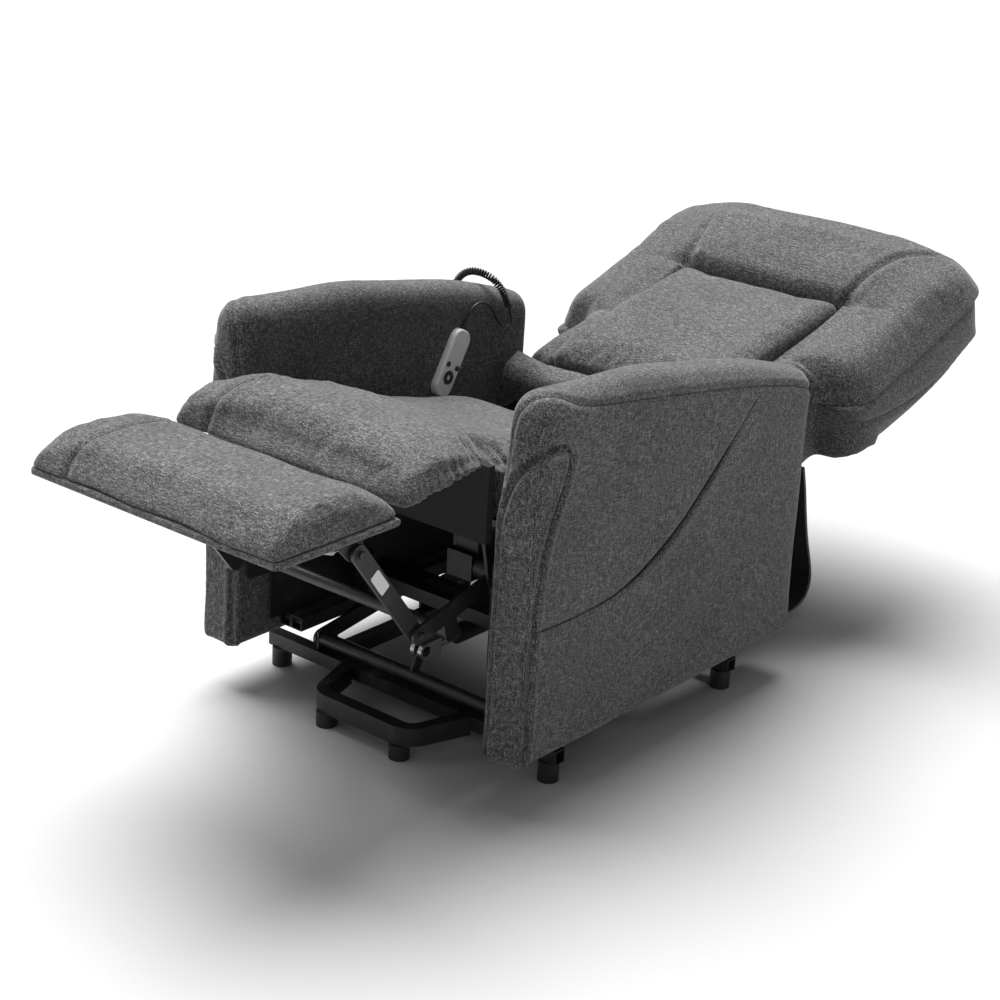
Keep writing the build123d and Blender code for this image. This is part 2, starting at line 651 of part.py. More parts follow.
def make_recline_drive():
    parts = {}
    (pin_y, z), (pin_end, _) = yoke_points()
    stroke = pin_end - pin_y
    tube_front = RECLINE_TUBE_FRONT
    tube_rear = pin_y - 56
    tube = rod_y(0, z, DRIVE_TUBE_RADIUS, tube_front, tube_rear)
    tube -= rod_y(0, z, ROD_RADIUS + 0.5, tube_front + 20, tube_rear + 1)
    parts["recline_drive_tube"] = tube
    gearbox = block(-28, 28, tube_front - 45, tube_front, z - 24, z + 24)
    motor = rod_x((tube_front - 22, z), 21.0, 28, 28 + MOTOR_LENGTH)
    parts["recline_motor"] = gearbox + motor
    bridge = pin_y - 40
    rod = rod_y(0, z, ROD_RADIUS, tube_rear - stroke - 20, bridge - 8)
    fork = block(-14, 14, bridge - 10, bridge, z - 9, z + 9)
    for x in (-14.0, 8.0):
        fork += block(x, x + 6, bridge, pin_y + 9, z - 9, z + 9)
    fork += rod_x((pin_y, z), YOKE_PIN_RADIUS, -14, 14)
    parts["recline_drive_rod"] = rod + fork
    return parts


# ---- back ------------------------------------------------------------------------------------------------
BACK_TUBE_X = 222.0
BACK_LENGTH = 780.0
SHELL_REAR = [
    (46, -126), (250, -131), (470, -152), (620, -149), (750, -128), (815, -108),
]


def make_back():
    parts = {}
    start = on_back(-18, 0)
    end = on_back(BACK_LENGTH, 0)
    side = slanted_tube(start, end, BACK_TUBE_X)
    side -= rod_x(BACK_PIVOT, RUNNING_BORE, 0, ARM_INNER)
    frame = both(side)
    for distance in (40.0, 300.0, 560.0, BACK_LENGTH - 30):
        y, z = on_back(distance, 0)
        bar = Box(2 * BACK_TUBE_X, TUBE, TUBE) - Box(2 * BACK_TUBE_X, TUBE - 4, TUBE - 4)
        frame.append(Pos(0, y, z) * Rot(BACK_ANGLE, 0, 0) * bar)
    parts["back_frame"] = frame

    # slotted lever that the recline drive pushes
    middle = (YOKE_START + YOKE_END) / 2
    reach = YOKE_DROP / math.cos(math.radians(middle - YOKE_START))
    tip = along(BACK_PIVOT, YOKE_START, reach + 14)
    lever = link(BACK_PIVOT, tip, -YOKE_PIN_RADIUS, width=BAR_WIDTH + 4, bores=(0, 0))
    slot_half = YOKE_PIN_RADIUS + YOKE_CLEARANCE
    slot_from = along(BACK_PIVOT, YOKE_START, YOKE_DROP - 3)
    slot_to = along(BACK_PIVOT, YOKE_START, reach + 3)
    lever -= link(slot_from, slot_to, -TUBE, thickness=2 * TUBE, width=2 * slot_half, bores=(0, 0))
    arm_end = on_back(40 - TUBE / 2, 0)
    lever += link(BACK_PIVOT, arm_end, -YOKE_PIN_RADIUS, width=TUBE, bores=(0, 0)) - Pos(
        0, *on_back(40, 0)) * Rot(BACK_ANGLE, 0, 0) * Box(TUBE, TUBE, TUBE)
    parts["back_frame"].append(lever)

    wall = BACK_SHELL_WALL
    narrow = [p for p in SHELL_REAR if p[0] < WING_START] + [(WING_START, -133)]
    low = narrow + [(t, s + wall) for t, s in reversed(narrow)]
    shell = back_slab(low, -LOWER_BACK_HALF, LOWER_BACK_HALF)
    high_points = [(WING_START, -133)] + [p for p in SHELL_REAR if p[0] > WING_START]
    high = high_points + [(t, s + wall) for t, s in reversed(high_points)]
    shell += back_slab(high, -HALF_WIDTH + 6, HALF_WIDTH - 6)
    cheek = high_points + [(815, -20), (815, 14), (WING_START, 14)]
    for x in (-HALF_WIDTH + 6, HALF_WIDTH - 6 - wall):
        shell += back_slab(cheek, x, x + wall)
    low_cheek = narrow + [(WING_START, 14), (46, 14)]
    for x in (-LOWER_BACK_HALF, LOWER_BACK_HALF - wall):
        shell += back_slab(low_cheek, x, x + wall)
    parts["back_shell"] = shell

    gap = SEAM_GAP / 2
    lift = 18.0
    lumbar = back_slab([(6, lift), (6, 78), (24, 100), (70 - gap, 108), (70 - gap, lift)],
                       -LOWER_BACK_HALF, LOWER_BACK_HALF)
    parts["back_lumbar_roll"] = lumbar
    centre = [(70 + gap, lift), (70 + gap, 112), (150, 122), (230, 112), (400, 78),
              (HEAD_START - gap, 60), (HEAD_START - gap, lift)]
    parts["back_centre_cushion"] = back_slab(centre, -CENTRE_HALF + gap, CENTRE_HALF - gap)
    lower_side = [(70 + gap, lift), (70 + gap, 100), (150, 110), (230, 96), (WING_START + 2, 84),
                  (WING_START + 2, lift)]
    wing = [(WING_START + 2, lift), (WING_START + 2, 50), (330, 66), (450, 74), (600, 74),
            (HEAD_TOP_START - 2, 60), (HEAD_TOP_START - 2, lift)]
    inner = CENTRE_HALF + gap
    lower = back_slab(lower_side, inner, LOWER_BACK_HALF)
    upper = back_slab(wing, inner, HALF_WIDTH)
    head_cut = back_slab([(HEAD_START - gap, 0), (HEAD_START - gap, 200), (900, 200), (900, 0)],
                         0, HEAD_HALF + gap)
    parts["back_side_cushions"] = both((lower + upper) - head_cut)
    head = [(HEAD_START + gap, lift), (HEAD_START + gap, 62), (600, 84), (700, 96), (770, 84),
            (812, 40), (812, lift)]
    head_roll = back_slab(head, -HEAD_HALF, HEAD_HALF)
    head_top = back_slab([(HEAD_TOP_START, lift), (HEAD_TOP_START, 84), (770, 70), (812, 30),
                          (812, lift)], -HALF_WIDTH, HALF_WIDTH)
    parts["head_cushion"] = head_roll + head_top
    cap = back_slab([(817, 12), (817, -100), (838, -90), (846, -60), (836, -10)],
                    -HALF_WIDTH + 8, HALF_WIDTH - 8)
    parts["head_end_pad"] = Pos(0, HEAD_END - cap.bounding_box().max.Y, 0) * cap
    return parts



def strip(points, thickness):
    """A thin band that follows (y, z) points, as a closed outline."""
    offsets = []
    for i, (y, z) in enumerate(points):
        before = points[max(i - 1, 0)]
        after = points[min(i + 1, len(points) - 1)]
        length = math.dist(before, after)
        normal = (-(after[1] - before[1]) / length, (after[0] - before[0]) / length)
        offsets.append((y + normal[0] * thickness, z + normal[1] * thickness))
    return points + offsets[::-1]


SKIRT_ROUTE = [
    (965, 322), (978, 280), (990, 225), (1006, 165), (1030, 105), (1037, 68), (1024, 36),
    (985, 22), (925, 25), (860, 50), (800, 88), (772, 130),
]
SKIRT_HALF = 248.0
SKIRT_THICKNESS = 3.0


def make_skirt():
    return {"rear_skirt": slab(strip(SKIRT_ROUTE, SKIRT_THICKNESS), -SKIRT_HALF, SKIRT_HALF)}


# ---- footrest and calf pad -----------------------------------------------------------------------------------
FOOT_LINK_X = 205.0
FRONT_LINK_X = 197.0
FOOT_BRACKET_X = 190.0
FOOT_BOARD_Z = 531.0
BOARD = 10.0


TORQUE_TUBE_RADIUS = 11.0
TORQUE_TUBE_DROP = 37.0
TORQUE_LUG_REACH = 70.0
TORQUE_LUG_ANGLE = math.degrees(
    math.atan2(FOOTREST_A[1] - FOOTREST_B[1], FOOTREST_A[0] - FOOTREST_B[0]))


def make_footrest():
    parts = {}
    rear_link = link(FOOTREST_A, FOOTREST_B, FOOT_LINK_X, bores=(RUNNING_BORE, 0))
    rear_link += rod_x(FOOTREST_B, PIN_RADIUS, FRONT_LINK_X, FOOT_LINK_X + 1)
    # the tube hangs below the links, clear of the front links that fold against them
    tube_at = along(along(FOOTREST_B, TORQUE_LUG_ANGLE, TORQUE_LUG_REACH),
                    TORQUE_LUG_ANGLE - 90, TORQUE_TUBE_DROP)
    lug_root = along(FOOTREST_B, TORQUE_LUG_ANGLE, TORQUE_LUG_REACH)
    rear_link += link(lug_root, tube_at, FOOT_LINK_X, bores=(0, 0))
    torque_tube = rod_x(tube_at, TORQUE_TUBE_RADIUS, -FOOT_LINK_X, FOOT_LINK_X)
    parts["footrest_rear_links"] = both(rear_link) + [torque_tube]
    parts["footrest_front_links"] = both(link(FOOTREST_B, FOOTREST_C, FRONT_LINK_X))

    bracket = slab([
        (-400, FOOT_BOARD_Z), (-400, 514), (-270, 498), (-236, 462), (-226, 456), (-212, 456),
        (-206, 464), (-206, FOOT_BOARD_Z),
    ], FOOT_BRACKET_X, FOOT_BRACKET_X + PLATE)
    bracket += rod_x(FOOTREST_C, PIN_RADIUS, FOOT_BRACKET_X, FRONT_LINK_X + BAR)
    parts["footrest_brackets"] = both(bracket)
    parts["footrest_board"] = block(
        -FOOTREST_HALF + 4, FOOTREST_HALF - 4, FOOTREST_FRONT + 8, FOOTREST_REAR - 6,
        FOOT_BOARD_Z, FOOT_BOARD_Z + BOARD)
    low = FOOT_BOARD_Z + BOARD + 0.3
    outline = Spline((-452, 574), (-410, 588), (-340, 593), (-260, 587), (-206, 570))
    outline += Polyline((-206, 570), (FOOTREST_REAR, 556), (FOOTREST_REAR, low),
                        (FOOTREST_FRONT, low), (FOOTREST_FRONT, 558), (-452, 574))
    parts["footrest_pad"] = curved_slab(outline, -FOOTREST_HALF, FOOTREST_HALF)
    return parts


CALF_BOARD_FRONT = -150.0
CALF_BOARD_Z = 566.0
CALF_TAB_X = 155.0
CALF_TAB_RADIUS = 7.0
CALF_PIN_RADIUS = 3.0


def make_calf():
    parts = {}
    top = CALF_BOARD_Z + BOARD
    rear = CALF_PIVOT[0] - 1
    board = block(-SEAT_HALF, SEAT_HALF, CALF_BOARD_FRONT, rear, CALF_BOARD_Z, top)
    tab = rod_x(CALF_PIVOT, CALF_TAB_RADIUS, CALF_TAB_X, CALF_TAB_X + BAR)
    tab += block(CALF_TAB_X, CALF_TAB_X + BAR, CALF_PIVOT[0] - CALF_TAB_RADIUS, rear,
                 CALF_PIVOT[1], CALF_BOARD_Z)
    tab -= rod_x(CALF_PIVOT, CALF_PIN_RADIUS + 0.05, CALF_TAB_X - 1, CALF_TAB_X + BAR + 1)
    for side in both(tab):
        board += side
    parts["calf_board"] = board

    # the pad wraps down over the front edge of its board
    low = top + 0.3
    lip = CALF_BOARD_FRONT - 1
    outline = Spline((-178, 588), (-110, 605), (-60, 606), (-13, 596))
    outline += Polyline((-13, 596), (-13, low), (lip, low), (lip, 548), (-176, 548), (-178, 588))
    parts["calf_pad"] = curved_slab(outline, -SEAT_HALF, SEAT_HALF)
    return parts


# ---- write every piece, moved so that the origin is under the middle of the chair ---------------------------------
def write(parts):
    os.makedirs("parts", exist_ok=True)
    for name, shape in parts.items():
        solids = shape if isinstance(shape, list) else [shape]
        moved = [Pos(0, SHIFT_Y, 0) * solid for solid in solids]
        whole = Compound(children=moved) if len(moved) > 1 else moved[0]
        export_step(whole, f"parts/{name}.step")


for make in (
    make_base, make_lift, make_lift_drive, make_chassis, make_arms, make_handset, make_cord,
    make_seat, make_recline_drive, make_back, make_skirt, make_footrest, make_calf,
):
    write(make())
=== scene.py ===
import json
import math

import bmesh
import bpy
import numpy as np
from mathutils import Matrix, Vector
from mathutils.bvhtree import BVHTree


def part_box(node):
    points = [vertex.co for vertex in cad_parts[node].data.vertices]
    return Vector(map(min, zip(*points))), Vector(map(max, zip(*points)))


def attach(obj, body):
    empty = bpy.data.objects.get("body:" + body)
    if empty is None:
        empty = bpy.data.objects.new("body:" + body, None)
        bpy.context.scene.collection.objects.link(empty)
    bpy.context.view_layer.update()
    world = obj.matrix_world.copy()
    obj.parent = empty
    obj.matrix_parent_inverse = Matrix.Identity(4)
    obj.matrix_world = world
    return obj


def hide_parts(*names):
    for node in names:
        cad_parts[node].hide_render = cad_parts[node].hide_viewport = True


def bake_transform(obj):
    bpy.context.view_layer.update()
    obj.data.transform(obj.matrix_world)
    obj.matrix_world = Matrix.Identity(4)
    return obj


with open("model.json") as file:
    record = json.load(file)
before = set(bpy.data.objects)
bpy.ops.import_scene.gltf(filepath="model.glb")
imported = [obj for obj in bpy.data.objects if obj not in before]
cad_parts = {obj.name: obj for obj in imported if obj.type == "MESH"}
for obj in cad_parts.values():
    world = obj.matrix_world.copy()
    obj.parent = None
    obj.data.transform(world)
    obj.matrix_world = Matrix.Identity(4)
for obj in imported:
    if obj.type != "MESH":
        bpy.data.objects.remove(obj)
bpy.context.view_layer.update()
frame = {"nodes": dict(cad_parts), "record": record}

SCENE = bpy.context.scene
MM = 0.001
# Lengths along the chair are counted from the front of the arms, as its drawings do.
ARM_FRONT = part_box("arm_cover_right")[0].y / MM
BACK_HINGE = (672.0, 375.0)
BACK_ANGLE = math.radians(18.0)


def at(x, y, z):
    """A point in metres from millimetres across, behind the arm fronts and above the floor."""
    return Vector((x, y + ARM_FRONT, z)) * MM


def on_back(s, t):
    """(y, z) of a point s up the back from its hinge and t in front of its frame."""
    c, n = math.cos(BACK_ANGLE), math.sin(BACK_ANGLE)
    return BACK_HINGE[0] + s * c - t * n, BACK_HINGE[1] + s * n + t * c


# ---- camera and light -----------------------------------------------------------------
CAMERA_PLACE = (2.2130, -2.9360, 1.7087)
CAMERA_RIGHT = Vector((0.7686, 0.6376, 0.0518))
CAMERA_UP = Vector((-0.2660, 0.2448, 0.9324))
CAMERA_BACK = Vector((0.5818, -0.7304, 0.3577))
LENS = 78.16
SENSOR = 36.0
FLOOR_REACH = 30.0
FLOOR_GREY = 0.48
SKY_STRENGTH = 0.28
KEY_STRENGTH = 7.0
KEY_SPREAD = math.radians(50)
KEY_DIRECTION = Vector((0.44, -0.24, -1.0))


def make_camera():
    data = bpy.data.cameras.new("camera")
    data.lens = LENS
    data.sensor_width = SENSOR
    camera = bpy.data.objects.new("camera", data)
    turn = Matrix((CAMERA_RIGHT, CAMERA_UP, CAMERA_BACK)).transposed()
    camera.matrix_world = Matrix.Translation(CAMERA_PLACE) @ turn.to_4x4()
    SCENE.collection.objects.link(camera)
    SCENE.camera = camera


def area_light(name, place, target, size, power):
    data = bpy.data.lights.new(name, "AREA")
    data.shape = "DISK"
    data.size = size
    data.energy = power
    light = bpy.data.objects.new(name, data)
    light.location = place
    light.rotation_euler = (Vector(target) - Vector(place)).to_track_quat("-Z", "Y").to_euler()
    SCENE.collection.objects.link(light)


def make_studio():
    floor = bpy.data.meshes.new("studio_floor")
    corners = [(-1, -1), (1, -1), (1, 1), (-1, 1)]
    floor.from_pydata([(x * FLOOR_REACH, y * FLOOR_REACH, 0) for x, y in corners], [], [(0, 1, 2, 3)])
    floor_object = bpy.data.objects.new("studio_floor", floor)
    SCENE.collection.objects.link(floor_object)
    paper = bpy.data.materials.new("pale_floor")
    paper.use_nodes = True
    shader = paper.node_tree.nodes["Principled BSDF"]
    shader.inputs["Base Color"].default_value = (FLOOR_GREY, FLOOR_GREY, FLOOR_GREY, 1)
    shader.inputs["Roughness"].default_value = 0.85
    floor.materials.append(paper)

    world = bpy.data.worlds.new("studio")
    world.use_nodes = True
    world.node_tree.nodes["Background"].inputs["Color"].default_value = (1, 1, 1, 1)
    world.node_tree.nodes["Background"].inputs["Strength"].default_value = SKY_STRENGTH
    SCENE.world = world
    SCENE.view_settings.view_transform = "Standard"
    key = bpy.data.lights.new("soft_key", "SUN")
    key.energy = KEY_STRENGTH
    key.angle = KEY_SPREAD
    lamp = bpy.data.objects.new("soft_key", key)
    lamp.rotation_euler = KEY_DIRECTION.to_track_quat("-Z", "Y").to_euler()
    SCENE.collection.objects.link(lamp)
    area_light("front_left", (-2.6, -2.8, 2.6), (0, 0, 0.5), 2.0, 9)
    area_light("front", (0.8, -3.2, 1.0), (0, 0, 0.3), 1.6, 3)


make_camera()
make_studio()


# ---- materials ------------------------------------------------------------------------
class Nodes:
    """A short hand for building one material's node tree."""

    def __init__(self, name):
        self.material = bpy.data.materials.new(name)
        self.material.use_nodes = True
        self.tree = self.material.node_tree
        self.shader = self.tree.nodes["Principled BSDF"]

    def add(self, kind, links=None, **values):
        node = self.tree.nodes.new(kind)
        for key, value in values.items():
            if hasattr(node, key):
                setattr(node, key, value)
            else:
                node.inputs[key.replace("_", " ").title()].default_value = value
        for key, source in (links or {}).items():
            self.tree.links.new(source, node.inputs[key])
        return node

    def ramp(self, source, stops):
        node = self.add("ShaderNodeValToRGB", {"Fac": source})
        elements = node.color_ramp.elements
        while len(elements) < len(stops):
            elements.new(0.5)
        for element, (place, colour) in zip(elements, stops):
            element.position = place
            element.color = (*colour, 1)
        return node.outputs["Color"]

    def value_ramp(self, source, low, high, to_low, to_high):
        node = self.add("ShaderNodeMapRange", {"Value": source})
        node.inputs["From Min"].default_value = low
        node.inputs["From Max"].default_value = high
        node.inputs["To Min"].default_value = to_low
        node.inputs["To Max"].default_value = to_high
        return node.outputs["Result"]

    def noise(self, vector, scale, detail=2.0, roughness=0.5):
        node = self.add("ShaderNodeTexNoise", {"Vector": vector})
        node.inputs["Scale"].default_value = scale
        node.inputs["Detail"].default_value = detail
        node.inputs["Roughness"].default_value = roughness
        return node.outputs["Fac"]

    def stretched(self, vector, scale):
        node = self.add("ShaderNodeMapping", {"Vector": vector})
        node.inputs["Scale"].default_value = scale
        return node.outputs["Vector"]

    def math(self, operation, first, second):
        node = self.add("ShaderNodeMath")
        node.operation = operation
        for index, value in enumerate((first, second)):
            if isinstance(value, (int, float)):
                node.inputs[index].default_value = value
            else:
                self.tree.links.new(value, node.inputs[index])
        return node.outputs["Value"]

    def multiply_colour(self, colour, factor):
        node = self.add("ShaderNodeMix")
        node.data_type = "RGBA"
        node.blend_type = "MULTIPLY"
        node.inputs["Factor"].default_value = 1
        self.tree.links.new(colour, node.inputs["A"])
        self.tree.links.new(factor, node.inputs["B"])
        return node.outputs["Result"]

    def finish(self, colour, roughness, height, strength, distance, **fixed):
        link = self.tree.links.new
        link(colour, self.shader.inputs["Base Color"])
        link(roughness, self.shader.inputs["Roughness"])
        bump = self.add("ShaderNodeBump", {"Height": height})
        bump.inputs["Strength"].default_value = strength
        bump.inputs["Distance"].default_value = distance
        link(bump.outputs["Normal"], self.shader.inputs["Normal"])
        for key, value in fixed.items():
            self.shader.inputs[key.replace("_", " ")].default_value = value
        return self.material


def weave(name, dark, middle, light, thread=1.0, sheen=0.25):
    """A heathered upholstery cloth: short light and dark slubs along and across, with a fine weave."""
    n = Nodes(name)
    place = n.add("ShaderNodeAttribute", attribute_name="rest_place").outputs["Vector"]
    slubs = [
        n.noise(n.stretched(place, direction), 1.0, 3.0, 0.6)
        for direction in (
            (90 * thread, 560 * thread, 560 * thread), (560 * thread, 90 * thread, 560 * thread),
            (560 * thread, 560 * thread, 90 * thread))
    ]
    mixed = n.math("ADD", n.math("ADD", slubs[0], slubs[1]), slubs[2])
    melange = n.math("MULTIPLY", mixed, 1 / 3)
    colour = n.ramp(melange, [(0.42, dark), (0.50, middle), (0.60, light)])
    cloud = n.noise(place, 7.0, 3.0)
    patches = n.noise(place, 38.0, 2.0)
    tone = n.math("ADD", n.value_ramp(cloud, 0.3, 0.7, 0.84, 1.06),
                  n.value_ramp(patches, 0.3, 0.7, -0.06, 0.06))
    colour = n.multiply_colour(colour, tone)
    fine = n.noise(place, 1500.0 * thread, 1.0)
    height = n.math("ADD", melange, n.math("MULTIPLY", fine, 0.35))
    roughness = n.value_ramp(melange, 0.3, 0.7, 0.97, 0.80)
    return n.finish(colour, roughness, height, 0.45, 0.0016 / thread, Sheen_Weight=sheen,
                    Sheen_Roughness=0.5, Specular_IOR_Level=0.2)


def coated(name, colour, rough_low, rough_high, peel=900.0, metallic=0.0, wear=(0.2, 0.2, 0.2)):
    """Powder coat or moulded plastic: a fine skin, faint scuffs and dust."""
    n = Nodes(name)
    place = n.add("ShaderNodeTexCoord").outputs["Object"]
    scuff = n.noise(place, 22.0, 5.0, 0.65)
    skin = n.noise(place, peel, 2.0)
    long_marks = n.noise(n.stretched(place, (60, 600, 600)), 1.0, 2.0)
    worn = tuple(0.75 * c + 0.25 * w for c, w in zip(colour, wear))
    shade = n.ramp(scuff, [(0.0, tuple(0.8 * c for c in colour)), (0.56, colour), (0.78, worn)])
    roughness = n.value_ramp(n.math("ADD", scuff, n.math("MULTIPLY", long_marks, 0.4)),
                             0.4, 0.95, rough_low, rough_high)
    return n.finish(shade, roughness, skin, 0.25, 0.0006, Metallic=metallic)


def wood(name):
    n = Nodes(name)
    place = n.add("ShaderNodeTexCoord").outputs["Object"]
    grain = n.noise(n.stretched(place, (9, 120, 120)), 1.0, 6.0, 0.6)
    pore = n.noise(n.stretched(place, (60, 900, 900)), 1.0, 2.0)
    colour = n.ramp(grain, [(0.3, (0.32, 0.22, 0.13)), (0.5, (0.5, 0.37, 0.23)), (0.7, (0.6, 0.46, 0.3))])
    return n.finish(colour, n.value_ramp(pore, 0.3, 0.7, 0.6, 0.85), pore, 0.3, 0.0006)


CHARCOAL = weave("charcoal_weave", (0.013, 0.013, 0.013), (0.064, 0.063, 0.062), (0.235, 0.231, 0.227))
LINING = weave("black_lining_weave", (0.006, 0.006, 0.007), (0.014, 0.014, 0.015),
               (0.03, 0.03, 0.032), 1.6, 0.1)
PIPING = weave("pale_piping_weave", (0.06, 0.06, 0.065), (0.16, 0.16, 0.17), (0.3, 0.3, 0.31), 1.8)
THREAD = coated("dark_thread", (0.03, 0.03, 0.033), 0.6, 0.8, 1400.0)
FRAME_STEEL = coated("black_powder_coat", (0.012, 0.012, 0.013), 0.32, 0.55)
LINK_STEEL = coated("dark_link_coat", (0.02, 0.02, 0.022), 0.3, 0.5, 700.0)
BRIGHT_STEEL = coated("bright_zinc", (0.55, 0.56, 0.57), 0.25, 0.45, 500.0, 1.0, (0.3, 0.3, 0.3))
BLACK_PLASTIC = coated("black_moulded_plastic", (0.012, 0.012, 0.013), 0.4, 0.6, 1300.0)
JACKET = coated("cord_jacket_rubber", (0.012, 0.012, 0.013), 0.35, 0.5, 1500.0)
WHITE_PLASTIC = coated("white_moulded_plastic", (0.82, 0.82, 0.81), 0.25, 0.38, 1200.0, 0.0, (0.7, 0.7, 0.68))
GREY_PLASTIC = coated("grey_button_plastic", (0.05, 0.05, 0.055), 0.4, 0.55, 1300.0)
TIMBER = wood("pine_timber")
SLOT_MATERIALS = {
    "charcoal_upholstery": CHARCOAL, "black_lining": LINING, "black_frame_steel": FRAME_STEEL,
    "dark_link_steel": LINK_STEEL, "bright_steel": BRIGHT_STEEL, "black_plastic": BLACK_PLASTIC,
    "cord_jacket": JACKET, "white_plastic": WHITE_PLASTIC, "grey_button_plastic": GREY_PLASTIC,
    "timber": TIMBER,
}


def dress(piece, material):
    piece.data.materials.clear()
    piece.data.materials.append(material)
    return piece


def dress_frame():
    """Every carried-over CAD node takes the material of its slot in the record."""
    for part in frame["record"]["subparts"]:
        node = frame["nodes"][part["node"]]
        node.data.materials.clear()
        node.data.materials.append(SLOT_MATERIALS[part["material_slot"]])
    for name in ("seat_front_board", "arm_frames"):
        frame["nodes"][name].data.materials[0] = LINING


dress_frame()


# ---- cord of the handset ----------------------------------------------------------------
CORD_ROUTE = [
    (-273.0, 569.0, 571.0), (-273.0, 581.0, 591.8), (-271.0, 606.0, 603.0), (-269.0, 634.0, 592.0),
    (-268.0, 652.0, 564.0), (-268.0, 674.0, 537.0), (-268.0, 703.0, 544.4), (-268.0, 690.0, 575.0),
]
COIL_ROUTE = [
    (-268.0, 690.0, 575.0), (-268.0, 662.0, 641.0), (-375.5, 650.0, 641.0), (-375.5, 640.0, 560.0),
]
TAIL_ROUTE = [
    (-375.5, 640.0, 560.0), (-375.5, 634.0, 511.4), (-373.0, 631.0, 455.0), (-372.0, 634.0, 398.0),
    (-373.0, 641.0, 341.0), (-372.0, 645.0, 284.0), (-370.5, 651.0, 227.0), (-371.5, 661.0, 171.0),
    (-373.0, 676.0, 121.0), (-372.0, 696.0, 82.0), (-363.0, 718.0, 62.0), (-346.0, 727.0, 60.0),
]
CORD_RADIUS = 2.0
COIL_MEAN_RADIUS = 5.6
COIL_PITCH = 5.4
COIL_STEPS = 14


def nurbs(name, points, bevel=0.0, resolution=6):
    data = bpy.data.curves.new(name, "CURVE")
    data.dimensions = "3D"
    data.resolution_u = resolution
    data.bevel_depth = bevel
    data.bevel_resolution = 3
    data.use_fill_caps = True
    spline = data.splines.new("NURBS")
    spline.points.add(len(points) - 1)
    for point, place in zip(spline.points, points):
        point.co = (*place, 1)
    spline.order_u = 3
    spline.use_endpoint_u = True
    curve = bpy.data.objects.new(name, data)
    SCENE.collection.objects.link(curve)
    return curve


def line_of(curve):
    """Points read along a curve that has no bevel."""
    bpy.context.view_layer.update()
    graph = bpy.context.evaluated_depsgraph_get()
    mesh = bpy.data.meshes.new_from_object(curve.evaluated_get(graph))
    points = [v.co.copy() for v in mesh.vertices]
    bpy.data.meshes.remove(mesh)
    return points


def helix(points, radius, pitch, steps):
    """A helix round a line of points, opening out from the line and closing back onto it."""
    lengths = [0.0]
    for a, b in zip(points, points[1:]):
        lengths.append(lengths[-1] + (b - a).length)
    total = lengths[-1]
    turns = int(total / pitch)
    side = Vector((0, 1, 0))
    made = []
    for step in range(turns * steps + 1):
        run = total * step / (turns * steps)
        index = max(0, min(len(points) - 2, int(np.searchsorted(lengths, run)) - 1))
        share = (run - lengths[index]) / max(lengths[index + 1] - lengths[index], 1e-9)
        centre = points[index].lerp(points[index + 1], share)
        before, after = points[max(index - 1, 0)], points[min(index + 2, len(points) - 1)]
        along = (after - before).normalized()
        side = (side - side.dot(along) * along).normalized()
        other = along.cross(side)
        angle = 2 * math.pi * step / steps
        opening = min(1.0, step / (1.2 * steps), (turns * steps - step) / (1.2 * steps))
        made.append(centre + radius * opening * (math.cos(angle) * side + math.sin(angle) * other))
    return made


def make_cord():
    guide = nurbs("coil_guide", [at(*p) for p in COIL_ROUTE], resolution=24)
    coil = helix(line_of(guide), COIL_MEAN_RADIUS * MM, COIL_PITCH * MM, COIL_STEPS)
    bpy.data.objects.remove(guide)
    points = [at(*p) for p in CORD_ROUTE[:-1]] + coil + [at(*p) for p in TAIL_ROUTE[1:]]
    cord = nurbs("curly_cord", points, CORD_RADIUS * MM, 4)
    dress(cord, JACKET)
    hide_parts("handset_cord", "handset_cord_coil", "handset_cord_tail")
    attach(cord, "chassis")


make_cord()


# ---- soft goods: shaping tools ----------------------------------------------------------
RIM_STEPS = 6
STITCH = 0.006


def fillet_outline(points, radii, step=8):
    """A closed outline whose corners are rounded to the radii given, with arcs of that many points."""
    made = []
    count = len(points)
    for index in range(count):
        corner = Vector(points[index])
        radius = radii[index] if isinstance(radii, (list, tuple)) else radii
        if radius <= 0:
            made.append(tuple(corner))
            continue
        before = (Vector(points[index - 1]) - corner).normalized()
        after = (Vector(points[(index + 1) % count]) - corner).normalized()
        half = before.angle(after) / 2
        reach = radius / math.tan(half)
        centre = corner + (before + after).normalized() * radius / math.sin(half)
        first, last = corner + before * reach - centre, corner + after * reach - centre
        turn = math.atan2(first.x * last.y - first.y * last.x, first.dot(last))
        for k in range(step + 1):
            a = turn * k / step
            made.append((centre.x + first.x * math.cos(a) - first.y * math.sin(a),
                         centre.y + first.x * math.sin(a) + first.y * math.cos(a)))
    return made


def inset_outline(outline, amount):
    """The outline moved inwards; it runs anticlockwise or clockwise alike."""
    pts = np.array(outline, float)
    area = np.sum(pts[:, 0] * np.roll(pts[:, 1], -1) - np.roll(pts[:, 0], -1) * pts[:, 1])
    edge = np.roll(pts, -1, axis=0) - pts
    normal = np.stack([edge[:, 1], -edge[:, 0]], 1)
    normal /= np.maximum(np.linalg.norm(normal, axis=1, keepdims=True), 1e-9)
    normal *= np.sign(area)
    mean = normal + np.roll(normal, 1, axis=0)
    mean /= np.maximum(np.linalg.norm(mean, axis=1, keepdims=True), 1e-9)
    mitre = 1 / np.maximum(np.sum(mean * normal, axis=1), 0.5)
    return pts - mean * (np.asarray(amount) * mitre)[:, None]


